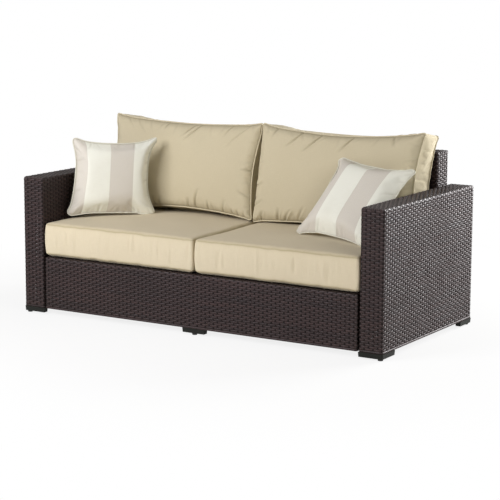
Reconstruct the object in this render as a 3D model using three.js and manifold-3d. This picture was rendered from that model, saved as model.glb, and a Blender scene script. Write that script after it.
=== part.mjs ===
// Rattan garden sofa for two: woven arm, back and apron panels over welded tube frames, a slatted
// seat with a woven deck, corner feet with levelling glides, and loose cushions and pillows.
// Millimetres. X runs along the sofa, Y from the front to the back, Z up from the floor.
import * as THREE from 'three';
import { mergeVertices } from 'three/addons/utils/BufferGeometryUtils.js';
import Module from 'manifold-3d';

const wasm = await Module();
wasm.setup();

// ---- driving dimensions -------------------------------------------------------------------
const sofaWidth = 1790; // outer face of one arm to the outer face of the other
const sofaDepth = 840; // front of the arms to their rear
const armHeight = 610;
const armThickness = 108;
const backHeight = 757;
const backThickness = 108;
const backInset = 32; // rear face of the back panel, in from the rear of the arms
const apronTop = 260;
const apronThickness = 32;
const apronEndGap = 6; // the dark gap between the apron and each arm
const backEndGap = 0.6;
const weaveBottom = 28; // underside of every woven panel above the floor
const fit = 0.3; // clearance between two pieces that touch
const overrun = 2; // how far a cutting solid runs past what it cuts

const skinWall = 4; // a woven skin: weavers over and under their stakes
const skinEdge = 10; // radius that the weave takes round a frame's corner
const edgeLimitShare = 3; // most of that radius for its wall, in walls
const arcSteps = 3; // facets in a quarter of a rounded corner

const tube = 25; // square tube of the frames
const tubeWall = 1.6;
const crossbars = 3;

const boltRadius = 4;
const boltHeadRadius = 6.5;
const boltHeadHeight = 5;
const boltGrip = 16; // length of the bolt inside the frame that it holds
const boltSides = 6;
const boreSides = 12;
const boltsPerSide = 3;
const boltEndMargin = 70; // first and last bolt in an arm, in from the ends of its rail

const footUnderside = 8;
const footLeg = 24; // thickness of a foot's two legs
const footReach = 110; // length of the leg along the side of an arm
const footProud = 1; // how far a foot stands out past the weave
const footDraft = 1.5; // how much narrower each side is at the bottom
const footChamfer = 5;
const centreFootLength = 110;
const centreFootDepth = 26;
const glideRadius = 11;
const glideLip = 1.5; // turned-up edge of the pad
const studRadius = 4;
const studLength = 17;
const glideSides = 20;

const cushionGap = 1; // between a seat cushion and its neighbours
const seatWall = 133; // seam to seam
const seatCrown = 20;
const seatUnder = 12; // how far the lower seam lies above the deck
const seatCorner = 22;
const seatBulge = 5;
const seatDrawIn = 3;
const backCushionHeight = 440;
const backCushionThickness = 128;
const backCushionCrown = 28;
const backCushionRearCrown = 8;
const backCushionCorner = 24;
const backCushionBulge = 6;
const backCushionDrawIn = 11;
const backCushionFoot = 201; // its lower front edge, ahead of the backrest
const backCushionRise = 3; // lower front seam above the seat's seam
const backCushionLean = 11; // degrees
const backCushionGap = 4;
const pillowWidth = 396; // corner to corner
const slumpedWidth = 392; // the left pillow has slumped lower than it is wide
const slumpedHeight = 344;
const pillowThickness = 128;
const pillowDrawIn = 26;
const pillowCorner = 7;
const pillowOverArm = 36; // height above an arm from which a pillow may hang out over it
const pressDepth = 9; // how softly a pillow gives way against an arm or a back cushion
const restDepth = 2.5; // how softly a back cushion settles on the seat and against the back
const pillowRest = 1; // how softly a pillow settles on a seat cushion
const leftPillowIn = 158; // its middle, from the arm's inner face
const leftPillowAhead = 388; // its middle, ahead of the backrest
const leftPillowUp = 187; // its middle, above the seat's seam
const rightPillowIn = 217;
const rightPillowAhead = 332;
const rightPillowUp = 156.4;

// ---- derived levels -----------------------------------------------------------------------
const half = sofaWidth / 2;
const innerHalf = half - armThickness; // inner face of each arm
const backRear = sofaDepth - backInset;
const backFront = backRear - backThickness;
const seatSeamLow = apronTop + seatUnder;
const seatSeamTop = seatSeamLow + seatWall;
const backCushionFront = backFront - backCushionFoot;
const footHeight = weaveBottom - fit - footUnderside;
const cavityTop = armHeight - skinWall - fit;

// Each pillow's middle from the centre line, front and floor, and its angles in degrees.
const pillows = [
  {
    side: 'left', width: slumpedWidth, height: slumpedHeight, turn: 44.5, lean: 9.5, tilt: 2.5,
    middle: [leftPillowIn - innerHalf, backFront - leftPillowAhead, seatSeamTop + leftPillowUp],
  },
  {
    side: 'right', width: pillowWidth, height: pillowWidth, turn: -10, lean: 42.4, tilt: 3.9,
    middle: [innerHalf - rightPillowIn, backFront - rightPillowAhead, seatSeamTop + rightPillowUp],
  },
];

// ---- materials ----------------------------------------------------------------------------
const look = (color, roughness, metalness = 0) =>
  new THREE.MeshStandardMaterial({ color, roughness, metalness });
const rattan = look(0x46403c, 0.55);
const framePaint = look(0x2c2a28, 0.5, 0.3);
const zinc = look(0x9a9c9e, 0.35, 0.9);
const footPlastic = look(0x3c3e39, 0.6);
const glidePlastic = look(0x1c1c1b, 0.5);
const seatFabric = look(0xdccfb4, 0.95);
const backFabric = look(0xcbbea0, 0.95);
const pillowFabric = look(0xe4e0d2, 0.95);

const sofa = new THREE.Group();
sofa.position.set(0, -sofaDepth / 2, 0); // the finished sofa stands centred on its origin

function add(name, geometry, material, position = [0, 0, 0]) {
  const mesh = new THREE.Mesh(geometry, material);
  mesh.name = name;
  mesh.position.set(...position);
  sofa.add(mesh);
  return mesh;
}

// ---- solids -------------------------------------------------------------------------------
function toSolid(geometry) {
  const bare = geometry.clone();
  bare.deleteAttribute('normal');
  bare.deleteAttribute('uv');
  const merged = mergeVertices(bare, fit / 100);
  return new wasm.Manifold(new wasm.Mesh({
    numProp: 3,
    vertProperties: new Float32Array(merged.attributes.position.array),
    triVerts: new Uint32Array(merged.index.array),
  }));
}

function toGeometry(solid) {
  const mesh = solid.getMesh();
  const points = new Float32Array((mesh.vertProperties.length / mesh.numProp) * 3);
  for (let i = 0; i < points.length / 3; i += 1) {
    for (let k = 0; k < 3; k += 1) points[i * 3 + k] = mesh.vertProperties[i * mesh.numProp + k];
  }
  const geometry = new THREE.BufferGeometry();
  geometry.setAttribute('position', new THREE.BufferAttribute(points, 3));
  geometry.setIndex(new THREE.BufferAttribute(new Uint32Array(mesh.triVerts), 1));
  geometry.computeVertexNormals();
  return geometry;
}

// A box from one corner to the other.
function block(x0, x1, y0, y1, z0, z1) {
  const geometry = new THREE.BoxGeometry(x1 - x0, y1 - y0, z1 - z0);
  geometry.translate((x0 + x1) / 2, (y0 + y1) / 2, (z0 + z1) / 2);
  return toSolid(geometry);
}

// A cylinder along axis 'x', 'y' or 'z', from one end to the other, at the two other coordinates.
function bore(axis, from, to, a, b, radius, sides = boreSides) {
  const geometry = new THREE.CylinderGeometry(radius, radius, to - from, sides);
  if (axis === 'x') geometry.rotateZ(-Math.PI / 2);
  if (axis === 'z') geometry.rotateX(Math.PI / 2);
  const middle = (from + to) / 2;
  const at = { x: [middle, a, b], y: [a, middle, b], z: [a, b, middle] }[axis];
  geometry.translate(...at);
  return toSolid(geometry);
}

const joined = (solids) => solids.reduce((sum, solid) => sum.add(solid));
const without = (solid, cuts) => cuts.reduce((rest, cut) => rest.subtract(cut), solid);

// A rectangle between two corners, with a radius on its upper corners and, if asked, the lower.
function softRectangle(a0, a1, b0, b1, radius, lower) {
  const shape = new THREE.Shape();
  const low = lower ? radius : 0;
  shape.moveTo(a0 + low, b0);
  shape.lineTo(a1 - low, b0);
  if (lower) shape.absarc(a1 - radius, b0 + radius, radius, -Math.PI / 2, 0);
  shape.lineTo(a1, b1 - radius);
  shape.absarc(a1 - radius, b1 - radius, radius, 0, Math.PI / 2);
  shape.lineTo(a0 + radius, b1);
  shape.absarc(a0 + radius, b1 - radius, radius, Math.PI / 2, Math.PI);
  shape.lineTo(a0, b0 + low);
  if (lower) shape.absarc(a0 + radius, b0 + radius, radius, Math.PI, Math.PI * 1.5);
  return shape;
}

// A woven sleeve over a frame: soft edges outside, square hollow inside, open underneath.
function sleeve(x0, x1, y0, y1, z0, z1) {
  const edge = Math.min(skinEdge, skinWall * edgeLimitShare);
  const options = (depth) => ({ depth, bevelEnabled: false, curveSegments: arcSteps });
  const plan = new THREE.ExtrudeGeometry(softRectangle(x0, x1, y0, y1, edge, true), options(z1 - z0));
  plan.translate(0, 0, z0);
  const front = new THREE.ExtrudeGeometry(softRectangle(x0, x1, z0, z1, edge, false), options(y1 - y0));
  front.rotateX(Math.PI / 2);
  front.translate(0, y1, 0);
  const side = new THREE.ExtrudeGeometry(softRectangle(y0, y1, z0, z1, edge, false), options(x1 - x0));
  side.rotateX(Math.PI / 2);
  side.rotateZ(Math.PI / 2);
  side.translate(x0, 0, 0);
  const outer = toSolid(plan).intersect(toSolid(front)).intersect(toSolid(side));
  return outer.subtract(block(
    x0 + skinWall, x1 - skinWall, y0 + skinWall, y1 - skinWall, z0 - overrun, z1 - skinWall));
}

// A welded frame of hollow bars, each given as a box; the bores meet, and open downwards.
function weldedFrame(bars, openBars) {
  const bores = bars.map(([x0, x1, y0, y1, z0, z1], i) => block(
    x0 + tubeWall, x1 - tubeWall, y0 + tubeWall, y1 - tubeWall,
    openBars.includes(i) ? z0 - overrun : z0 + tubeWall, z1 - tubeWall));
  return without(joined(bars.map((bar) => block(...bar))), [joined(bores)]);
}

// A hollow rail with open ends, along X or Y.
function rail(axis, x0, x1, y0, y1, z0, z1) {
  const alongX = axis === 'x';
  const inner = alongX
    ? block(x0 - overrun, x1 + overrun, y0 + tubeWall, y1 - tubeWall, z0 + tubeWall, z1 - tubeWall)
    : block(x0 + tubeWall, x1 - tubeWall, y0 - overrun, y1 + overrun, z0 + tubeWall, z1 - tubeWall);
  return block(x0, x1, y0, y1, z0, z1).subtract(inner);
}

// ---- bolts: where each one goes, so that every piece it passes gets its hole ----------------
const railTop = apronTop - skinWall - fit;
const railLow = railTop - tube;
const boltLevel = (railTop + railLow) / 2;
const seatFront = apronThickness + fit;
const seatRear = backFront - fit;
const railHalf = innerHalf - fit; // outer faces of the side rails
const bolts = [];
const spread = (from, to, count) =>
  Array.from({ length: count }, (_, i) => from + ((to - from) * i) / (count - 1));
for (const [side, sign] of [['left', -1], ['right', 1]]) {
  spread(seatFront + boltEndMargin, seatRear - boltEndMargin, boltsPerSide).forEach((y, i) => {
    bolts.push({ name: `arm_bolt_${side}_${i + 1}`, axis: 'x', sign, start: sign * (railHalf - tube), x: 0, y });
  });
}
const crossHalf = railHalf - tube - fit; // half length of the front and rear rails
const bay = (2 * crossHalf) / (crossbars + 1); // from one crossbar to the next
for (let i = 0; i < crossbars + 1; i += 1) {
  const x = -crossHalf + bay * (i + 1 / 2);
  bolts.push({ name: `apron_bolt_${i + 1}`, axis: 'y', sign: -1, start: seatFront + tube, x, y: 0 });
  bolts.push({ name: `back_bolt_${i + 1}`, axis: 'y', sign: 1, start: seatRear - tube, x, y: 0 });
}
const boltReach = tube + fit + skinWall + fit + boltGrip;

// Each bolt's hole, with its clearance, from the head's seat to past the bolt's end.
const holes = bolts.map((bolt) => {
  const ends = [bolt.start - bolt.sign * overrun, bolt.start + bolt.sign * (boltReach + overrun)];
  const [from, to] = [Math.min(...ends), Math.max(...ends)];
  const radius = boltRadius + fit;
  return bolt.axis === 'x'
    ? bore('x', from, to, bolt.y, boltLevel, radius)
    : bore('y', from, to, bolt.x, boltLevel, radius);
});
const holesOf = (start) => holes.filter((_, i) => bolts[i].name.startsWith(start));

// ---- arms ---------------------------------------------------------------------------------
// Bars of a box-shaped frame inside a sleeve: four posts, their rails and the end spreaders.
function boxFrame(x0, x1, y0, y1, z1, innerBar) {
  const [a0, a1] = [x0 + skinWall + fit, x1 - skinWall - fit];
  const [b0, b1] = [y0 + skinWall + fit, y1 - skinWall - fit];
  const [c0, c1] = [weaveBottom, z1 - skinWall - fit];
  const posts = [
    [a0, a0 + tube, b0, b0 + tube, c0, c1], [a1 - tube, a1, b0, b0 + tube, c0, c1],
    [a0, a0 + tube, b1 - tube, b1, c0, c1], [a1 - tube, a1, b1 - tube, b1, c0, c1],
  ];
  const level = (z) => [
    [a0, a0 + tube, b0, b1, z, z + tube], [a1 - tube, a1, b0, b1, z, z + tube],
    [a0, a1, b0, b0 + tube, z, z + tube], [a0, a1, b1 - tube, b1, z, z + tube],
  ];
  return weldedFrame([...posts, ...level(c0), ...level(c1 - tube), innerBar(a0, a1, b0, b1)], [0, 1, 2, 3]);
}

for (const [side, sign] of [['left', -1], ['right', 1]]) {
  const [x0, x1] = sign < 0 ? [-half, -innerHalf] : [innerHalf, half];
  const armHoles = holesOf(`arm_bolt_${side}`);
  const skin = without(sleeve(x0, x1, 0, sofaDepth, weaveBottom, armHeight), armHoles);
  add(`${side}_arm_weave`, toGeometry(skin), rattan);
  const bar = (a0, a1, b0, b1) => (sign < 0
    ? [a1 - tube, a1, b0, b1, railLow, railTop]
    : [a0, a0 + tube, b0, b1, railLow, railTop]);
  const frame = without(boxFrame(x0, x1, 0, sofaDepth, armHeight, bar), armHoles);
  add(`${side}_arm_frame`, toGeometry(frame), framePaint);
}

// ---- back ---------------------------------------------------------------------------------
const backHalf = innerHalf - backEndGap;
const backHoles = holesOf('back_bolt');
add('back_weave', toGeometry(without(
  sleeve(-backHalf, backHalf, backFront, backRear, weaveBottom, backHeight), backHoles)), rattan);
add('back_frame', toGeometry(without(
  boxFrame(-backHalf, backHalf, backFront, backRear, backHeight,
    (a0, a1, b0) => [a0, a1, b0, b0 + tube, railLow, railTop]), backHoles)), framePaint);

// ---- apron --------------------------------------------------------------------------------
const apronHalf = innerHalf - apronEndGap;
const apronHoles = holesOf('apron_bolt');
add('apron_weave', toGeometry(without(
  sleeve(-apronHalf, apronHalf, 0, apronThickness, weaveBottom, apronTop), apronHoles)), rattan);
{
  const [a0, a1] = [-apronHalf + skinWall + fit, apronHalf - skinWall - fit];
  const [b0, b1] = [skinWall + fit, apronThickness - skinWall - fit];
  const post = (x) => [x, x + tube, b0, b1, weaveBottom, railTop];
  const frame = weldedFrame([
    post(a0), post(-tube / 2), post(a1 - tube),
    [a0, a1, b0, b1, weaveBottom, weaveBottom + tube], [a0, a1, b0, b1, railLow, railTop],
  ], [0, 1, 2]);
  add('apron_frame', toGeometry(without(frame, apronHoles)), framePaint);
}

// ---- seat ---------------------------------------------------------------------------------
for (const [side, sign] of [['left', -1], ['right', 1]]) {
  const [x0, x1] = sign < 0 ? [-railHalf, -railHalf + tube] : [railHalf - tube, railHalf];
  add(`seat_rail_${side}`, toGeometry(without(
    rail('y', x0, x1, seatFront, seatRear, railLow, railTop), holesOf(`arm_bolt_${side}`))), framePaint);
}
add('seat_rail_front', toGeometry(without(
  rail('x', -crossHalf, crossHalf, seatFront, seatFront + tube, railLow, railTop), apronHoles)), framePaint);
add('seat_rail_rear', toGeometry(without(
  rail('x', -crossHalf, crossHalf, seatRear - tube, seatRear, railLow, railTop), backHoles)), framePaint);
for (let i = 0; i < crossbars; i += 1) {
  const x = -crossHalf + bay * (i + 1);
  add(`seat_crossbar_${i + 1}`, toGeometry(rail('y', x - tube / 2, x + tube / 2,
    seatFront + tube + fit, seatRear - tube - fit, railLow, railTop)), framePaint);
}
add('seat_deck_weave', toGeometry(block(
  -railHalf, railHalf, seatFront, seatRear, railTop + fit, apronTop)), rattan);

// A hexagon-headed bolt along +X, its head's seat at the origin.
function boltGeometry() {
  const head = bore('x', -boltHeadHeight - fit, -fit, 0, 0, boltHeadRadius, boltSides);
  return head.add(bore('x', -boltHeadHeight, boltReach, 0, 0, boltRadius, boreSides));
}
for (const bolt of bolts) {
  const mesh = add(bolt.name, toGeometry(boltGeometry()), zinc, bolt.axis === 'x'
    ? [bolt.start, bolt.y, boltLevel] : [bolt.x, bolt.start, boltLevel]);
  if (bolt.axis === 'x') mesh.rotation.z = bolt.sign < 0 ? Math.PI : 0;
  else mesh.rotation.z = (bolt.sign * Math.PI) / 2;
}

// ---- feet and glides ------------------------------------------------------------------------
// A prism whose outline shrinks by the draft towards the floor.
function drafted(outline, outlineBelow) {
  const count = outline.length;
  const points = [];
  for (const [x, y] of outlineBelow) points.push(x, y, footUnderside);
  for (const [x, y] of outline) points.push(x, y, footUnderside + footHeight);
  const index = [];
  const caps = THREE.ShapeUtils.triangulateShape(outline.map(([x, y]) => new THREE.Vector2(x, y)), []);
  for (const [a, b, c] of caps) index.push(c, b, a, a + count, b + count, c + count);
  for (let i = 0; i < count; i += 1) {
    const j = (i + 1) % count;
    index.push(i, j, j + count, i, j + count, i + count);
  }
  const geometry = new THREE.BufferGeometry();
  geometry.setAttribute('position', new THREE.BufferAttribute(new Float32Array(points), 3));
  geometry.setIndex(index);
  return geometry;
}

// The corner foot's L, for a corner at the origin with its legs along +X and +Y.
function cornerOutline(inset) {
  const long = armThickness + footProud * 2 - inset;
  const reach = footReach - inset;
  const leg = footLeg + footProud - inset;
  const chamfer = footChamfer;
  return [
    [inset + chamfer, inset], [long, inset], [long, leg], [leg + chamfer, leg], [leg, leg + chamfer],
    [leg, reach], [inset, reach], [inset, inset + chamfer],
  ];
}

const postOffset = skinWall + fit + tube / 2; // a corner post's axis, in from the arm's faces
for (const [end, ySign, yCorner] of [['front', 1, 0], ['rear', -1, sofaDepth]]) {
  for (const [side, xSign] of [['left', -1], ['right', 1]]) {
    const place = ([x, y]) => [xSign * (half + footProud - x), yCorner + ySign * (y - footProud)];
    const turn = (points) => (xSign * ySign > 0 ? points.reverse() : points);
    const solid = toSolid(drafted(turn(cornerOutline(0).map(place)), turn(cornerOutline(footDraft).map(place))));
    const at = [xSign * (half - postOffset), yCorner + ySign * postOffset];
    const cut = bore('z', footUnderside - overrun, weaveBottom + overrun, at[0], at[1], studRadius + fit);
    add(`foot_${end}_${side}`, toGeometry(solid.subtract(cut)), footPlastic);
    addGlide(`glide_${end}_${side}`, at);
  }
}
for (const [end, y] of [['front', apronThickness / 2], ['rear', backRear - centreFootDepth / 2]]) {
  const corners = (inset) => [[-1, -1], [1, -1], [1, 1], [-1, 1]].map(([sx, sy]) => [
    sx * (centreFootLength / 2 - inset), y + sy * (centreFootDepth / 2 - inset)]);
  const cut = bore('z', footUnderside - overrun, weaveBottom + overrun, 0, y, studRadius + fit);
  add(`foot_${end}_centre`, toGeometry(toSolid(drafted(corners(0), corners(footDraft))).subtract(cut)), footPlastic);
  addGlide(`glide_${end}_centre`, [0, y]);
}

// A levelling glide: a pad with a turned-up lip on a threaded stud, screwed fully home.
function addGlide(name, [x, y]) {
  const top = footUnderside - fit;
  const profile = [
    [0, 0], [glideRadius - glideLip, 0], [glideRadius, glideLip], [glideRadius, top - glideLip],
    [glideRadius - glideLip, top], [studRadius, top], [studRadius, top + studLength], [0, top + studLength],
  ].map(([r, z]) => new THREE.Vector2(r, z));
  const geometry = new THREE.LatheGeometry(profile, glideSides);
  geometry.rotateX(Math.PI / 2);
  add(name, toGeometry(toSolid(geometry)), glidePlastic, [x, y, 0]);
}

// ---- cushions -------------------------------------------------------------------------------
const sideShares = [-1, -0.72, -0.36, 0, 0.36, 0.72]; // points along one side, in half sides
const cornerSteps = 4;
const ringShares = [0.22, 0.45, 0.66, 0.82, 0.93]; // rings of a face, as parts of its outline
const wallShares = [0.5, 0, -0.5]; // rings of a side wall, as parts of its half height

// The outline of a cushion with rounded corners, its sides drawn in between them.
function cushionOutline(halfX, halfY, corner, drawIn) {
  const points = [];
  const straight = [halfX - corner, halfY - corner];
  const quarter = Math.PI / 2;
  for (let q = 0; q < 4; q += 1) {
    const along = q % 2 === 0 ? straight[1] : straight[0];
    const out = q % 2 === 0 ? halfX : halfY;
    const turn = ([x, y]) => [
      x * Math.round(Math.cos(q * quarter)) - y * Math.round(Math.sin(q * quarter)),
      x * Math.round(Math.sin(q * quarter)) + y * Math.round(Math.cos(q * quarter))];
    for (const share of sideShares) points.push(turn([out - drawIn * (1 - share * share), share * along]));
    for (let i = 0; i < cornerSteps; i += 1) {
      const angle = (quarter * i) / cornerSteps;
      points.push(turn([out - corner + corner * Math.cos(angle), along + corner * Math.sin(angle)]));
    }
  }
  return points;
}

// A closed skin over rings of points, from a middle point above to a middle point below.
function ringSkin(top, rings, bottom) {
  const count = rings[0].length;
  const points = [...top];
  for (const ring of rings) for (const point of ring) points.push(...point);
  points.push(...bottom);
  const index = [];
  const last = rings.length * count + 1;
  for (let i = 0; i < count; i += 1) {
    const j = (i + 1) % count;
    index.push(0, 1 + i, 1 + j);
    for (let k = 0; k < rings.length - 1; k += 1) {
      const [a, b] = [1 + k * count + i, 1 + k * count + j];
      index.push(a, a + count, b + count, a, b + count, b);
    }
    index.push(last, last - count + j, last - count + i);
  }
  const geometry = new THREE.BufferGeometry();
  geometry.setAttribute('position', new THREE.BufferAttribute(new Float32Array(points), 3));
  geometry.setIndex(index);
  return geometry;
}

// A box cushion about its own middle, lying flat: crowned faces, bulged walls, drawn-in sides.
// The underside drops by `under` towards its middle, over the outer part of its width.
function boxCushion({ length, width, wall, crown, under, flatPower, corner, bulge, drawIn }) {
  const seam = cushionOutline(length / 2 - bulge, width / 2 - bulge, corner, drawIn);
  const square = cushionOutline(1, 1, corner / (width / 2), 0);
  const count = seam.length;
  const dome = (share, i, power) => square[i].reduce((rest, c) => rest * (1 - Math.abs(c * share) ** power), 1);
  const top = (share) => seam.map(([x, y], i) => [
    x * share, y * share, wall / 2 + crown * (dome(share, i, 2) - dome(1, i, 2))]);
  const low = (share) => seam.map(([x, y], i) => [
    x * share, y * share, -wall / 2 - under * (dome(share, i, flatPower) - dome(1, i, flatPower))]);
  const walls = wallShares.map((share) => seam.map(([x, y], i) => {
    const [ax, ay] = seam[(i + count - 1) % count];
    const [bx, by] = seam[(i + 1) % count];
    const span = Math.hypot(bx - ax, by - ay);
    const out = bulge * (1 - share * share);
    return [x + (out * (by - ay)) / span, y - (out * (bx - ax)) / span, (share * wall) / 2];
  }));
  return ringSkin(
    [0, 0, wall / 2 + crown],
    [...ringShares.map(top), top(1), ...walls, low(1), ...ringShares.slice().reverse().map(low)],
    [0, 0, -wall / 2 - under]);
}

// A knife-edged pillow about its own middle, lying flat, with pointed corners.
function pillowForm({ width, height, thickness, corner, drawIn }) {
  const seam = cushionOutline(width / 2, height / 2, corner, drawIn);
  const square = cushionOutline(1, 1, corner / (height / 2), 0);
  const puff = (share, i) => {
    const [u, v] = square[i].map((c) => c * share);
    return (thickness / 2) * Math.sqrt(Math.max(0, (1 - u * u) * (1 - v * v)));
  };
  const face = (sign, share) => seam.map(([x, y], i) => [x * share, y * share, sign * puff(share, i)]);
  return ringSkin(
    [0, 0, thickness / 2],
    [...ringShares.map((share) => face(1, share)), seam.map(([x, y]) => [x, y, 0]),
      ...ringShares.slice().reverse().map((share) => face(-1, share))],
    [0, 0, -thickness / 2]);
}

// How far a value gives way as it nears a limit: it comes close to the limit and never passes it.
const above = (value, limit, depth) => limit + depth * Math.log1p(Math.exp((value - limit) / depth));
const below = (value, limit, depth) => -above(-value, -limit, depth);

const seatLength = innerHalf - cushionGap * 1.5;
const seatMiddle = cushionGap / 2 + seatLength / 2;
const seatWidth = backFront - cushionGap * 2;
const seatMiddleY = cushionGap + seatWidth / 2;
const domed = (a, b) => (1 - Math.min(1, a * a)) * (1 - Math.min(1, b * b));
const seatSurface = (x, y) => seatSeamTop + seatCrown
  * domed((Math.abs(x) - seatMiddle) / (seatLength / 2), (y - seatMiddleY) / (seatWidth / 2));

const backLength = innerHalf - backCushionGap * 1.5;
const backMiddle = backCushionGap / 2 + backLength / 2;
const backLean = THREE.MathUtils.degToRad(backCushionLean);
const backWall = backCushionThickness;
const backUp = new THREE.Vector3(0, Math.sin(backLean), Math.cos(backLean));
const backOut = new THREE.Vector3(0, -Math.cos(backLean), Math.sin(backLean));
const backFoot = new THREE.Vector3(0, backCushionFront, seatSeamTop + backCushionRise);
const backCentre = backFoot.clone()
  .addScaledVector(backUp, backCushionHeight / 2).addScaledVector(backOut, -backWall / 2);

// The front face of a back cushion at a point of the seat's width and height.
const backSurface = (x, z) => {
  const rise = (z - backFoot.z) / backUp.z;
  const dome = domed((Math.abs(x) - backMiddle) / (backLength / 2), rise / (backCushionHeight / 2) - 1);
  const plane = backFoot.y + (z - backFoot.z) * Math.tan(backLean);
  return plane - (backCushionCrown * dome) / backUp.z;
};

// Moves each point of a form to its place, then lets the pieces round it press it in.
function settle(geometry, matrix, press) {
  geometry.applyMatrix4(matrix);
  const at = geometry.attributes.position;
  for (let i = 0; i < at.count; i += 1) {
    at.setXYZ(i, ...press(at.getX(i), at.getY(i), at.getZ(i)));
  }
  geometry.computeVertexNormals();
  return geometry;
}

const touch = fit * 2; // a form's facets lie this far off the curved face that they follow

for (const [side, sign] of [['left', -1], ['right', 1]]) {
  const seat = boxCushion({
    length: seatLength, width: seatWidth, wall: seatWall, crown: seatCrown, under: seatUnder - fit,
    flatPower: 8, corner: seatCorner, bulge: seatBulge, drawIn: seatDrawIn });
  const seatPlace = new THREE.Matrix4().makeTranslation(
    sign * seatMiddle, seatMiddleY, seatSeamLow + seatWall / 2);
  add(`seat_cushion_${side}`, settle(seat, seatPlace, (x, y, z) => [x, y, z]), seatFabric);

  const back = boxCushion({
    length: backLength, width: backCushionHeight, wall: backWall, crown: backCushionCrown,
    under: backCushionRearCrown, flatPower: 2, corner: backCushionCorner, bulge: backCushionBulge,
    drawIn: backCushionDrawIn });
  const backPlace = new THREE.Matrix4().makeBasis(new THREE.Vector3(1, 0, 0), backUp, backOut);
  backPlace.setPosition(sign * backMiddle, backCentre.y, backCentre.z);
  add(`back_cushion_${side}`, settle(back, backPlace, (x, y, z) => {
    const lifted = above(z, seatSurface(x, y) + fit, restDepth);
    const overTop = Math.max(0, lifted - backHeight - touch);
    return [x, below(y, backFront - touch + overTop, restDepth), lifted];
  }), backFabric);
}

for (const { side, middle, width, height, turn, lean, tilt } of pillows) {
  const form = pillowForm({
    width, height, thickness: pillowThickness, corner: pillowCorner, drawIn: pillowDrawIn });
  const angles = [turn, lean, tilt].map(THREE.MathUtils.degToRad);
  const place = new THREE.Matrix4().makeRotationZ(angles[0])
    .multiply(new THREE.Matrix4().makeRotationX(Math.PI / 2 - angles[1]))
    .multiply(new THREE.Matrix4().makeRotationZ(-angles[2]));
  place.setPosition(...middle);
  add(`pillow_${side}`, settle(form, place, (x, y, z) => {
    const lifted = above(z, seatSurface(x, y) + fit, pillowRest);
    const overArm = Math.max(0, lifted - armHeight - pillowOverArm);
    const reach = innerHalf - touch * 2 + overArm;
    const inside = below(above(x, -reach, pressDepth), reach, pressDepth);
    return [inside, below(y, backSurface(inside, lifted) - touch * 2, pressDepth), lifted];
  }), pillowFabric);
}

export default sofa;
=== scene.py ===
# %% [markdown]
# # A woven garden sofa, dressed over its frame
#
# The frame file holds the sofa as plain solids: hollow arms, a back, an apron under the seat,
# steel tubes inside them, feet, and one plain solid for each cushion. This lesson gives every
# one of them the surface that the real sofa has. The arms, back and apron are woven from
# resin rattan, strand by strand. The cushions are sewn from flat panels and then filled by a
# short cloth simulation. The striped pillows are sewn the same way, without a side wall.
#
# All lengths are in metres. X runs along the sofa, Y from its front to its back, Z up.

import math

import bpy
import numpy as np
from mathutils import Matrix, Vector
from mathutils.bvhtree import BVHTree


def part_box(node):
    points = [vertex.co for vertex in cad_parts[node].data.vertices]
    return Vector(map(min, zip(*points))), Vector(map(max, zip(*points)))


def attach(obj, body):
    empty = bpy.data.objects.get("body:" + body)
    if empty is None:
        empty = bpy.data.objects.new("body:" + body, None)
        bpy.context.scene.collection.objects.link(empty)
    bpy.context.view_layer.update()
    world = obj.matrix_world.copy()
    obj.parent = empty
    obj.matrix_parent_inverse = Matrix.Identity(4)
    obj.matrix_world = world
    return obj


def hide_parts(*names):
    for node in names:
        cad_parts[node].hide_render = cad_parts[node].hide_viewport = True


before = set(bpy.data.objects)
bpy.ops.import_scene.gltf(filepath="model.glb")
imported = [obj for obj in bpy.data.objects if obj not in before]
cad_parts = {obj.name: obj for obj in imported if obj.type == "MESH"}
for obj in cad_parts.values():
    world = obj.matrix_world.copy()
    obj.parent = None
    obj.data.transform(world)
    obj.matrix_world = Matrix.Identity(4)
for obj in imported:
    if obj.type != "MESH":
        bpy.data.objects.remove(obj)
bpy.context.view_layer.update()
MM = 0.001

# %% [markdown]
# ## The camera
#
# A long lens far from the sofa keeps its upright edges almost parallel, as product
# photographers like it. The camera could be aimed by eye, but then its height and its lens
# trade against each other. It was fitted instead: the corners of the arms, the back and the
# seat were matched to their places in the picture, which gives a turn, a dip and a lens.

# %% Set the camera
def add_object(name, data):
    """A new object in the scene."""
    made = bpy.data.objects.new(name, data)
    bpy.context.scene.collection.objects.link(made)
    return made


STANDS_AT = [3.9755, -6.4763, 1.6336]
SENSOR, LENS = 36, 126.7776
turn, dip, roll = np.radians([31.386, 9.933, 0.262])
look = np.array([-np.sin(turn) * np.cos(dip), np.cos(turn) * np.cos(dip), -np.sin(dip)])
level = np.array([np.cos(turn), np.sin(turn), 0])
rise = np.cross(level, look)
across = math.cos(roll) * level + math.sin(roll) * rise
upward = math.cos(roll) * rise - math.sin(roll) * level

camera = add_object("camera", bpy.data.cameras.new("camera"))
camera.matrix_world = Matrix(
    np.column_stack([across, upward, -look, STANDS_AT]).tolist() + [[0, 0, 0, 1]])
camera.data.sensor_width, camera.data.lens, camera.data.clip_end = SENSOR, LENS, 200
bpy.context.scene.camera = camera
print(f"lens {camera.data.lens:.1f} mm, {math.dist(camera.location, (0, 0, 0)):.2f} m away")

# %% [markdown]
# ## Small tools for materials
#
# A node material is a graph, and writing it link by link hides what it does. One helper adds
# a node and fills its sockets in a single call, with numbers, colours or other nodes'
# outputs. Colours are written as they are seen on a screen and turned into the linear values
# that Blender computes with. A last helper lays the nodes out from left to right, so that the
# graph can be read in the shader editor.

# %% Helpers for node graphs
def colour(code):
    """A screen colour such as "d6c9aa" as the linear colour that a socket takes."""
    parts = [int(code[i:i + 2], 16) / 255 for i in (0, 2, 4)]
    return tuple(p / 12.92 if p < 0.04045 else ((p + 0.055) / 1.055) ** 2.4 for p in parts) + (1,)


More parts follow.
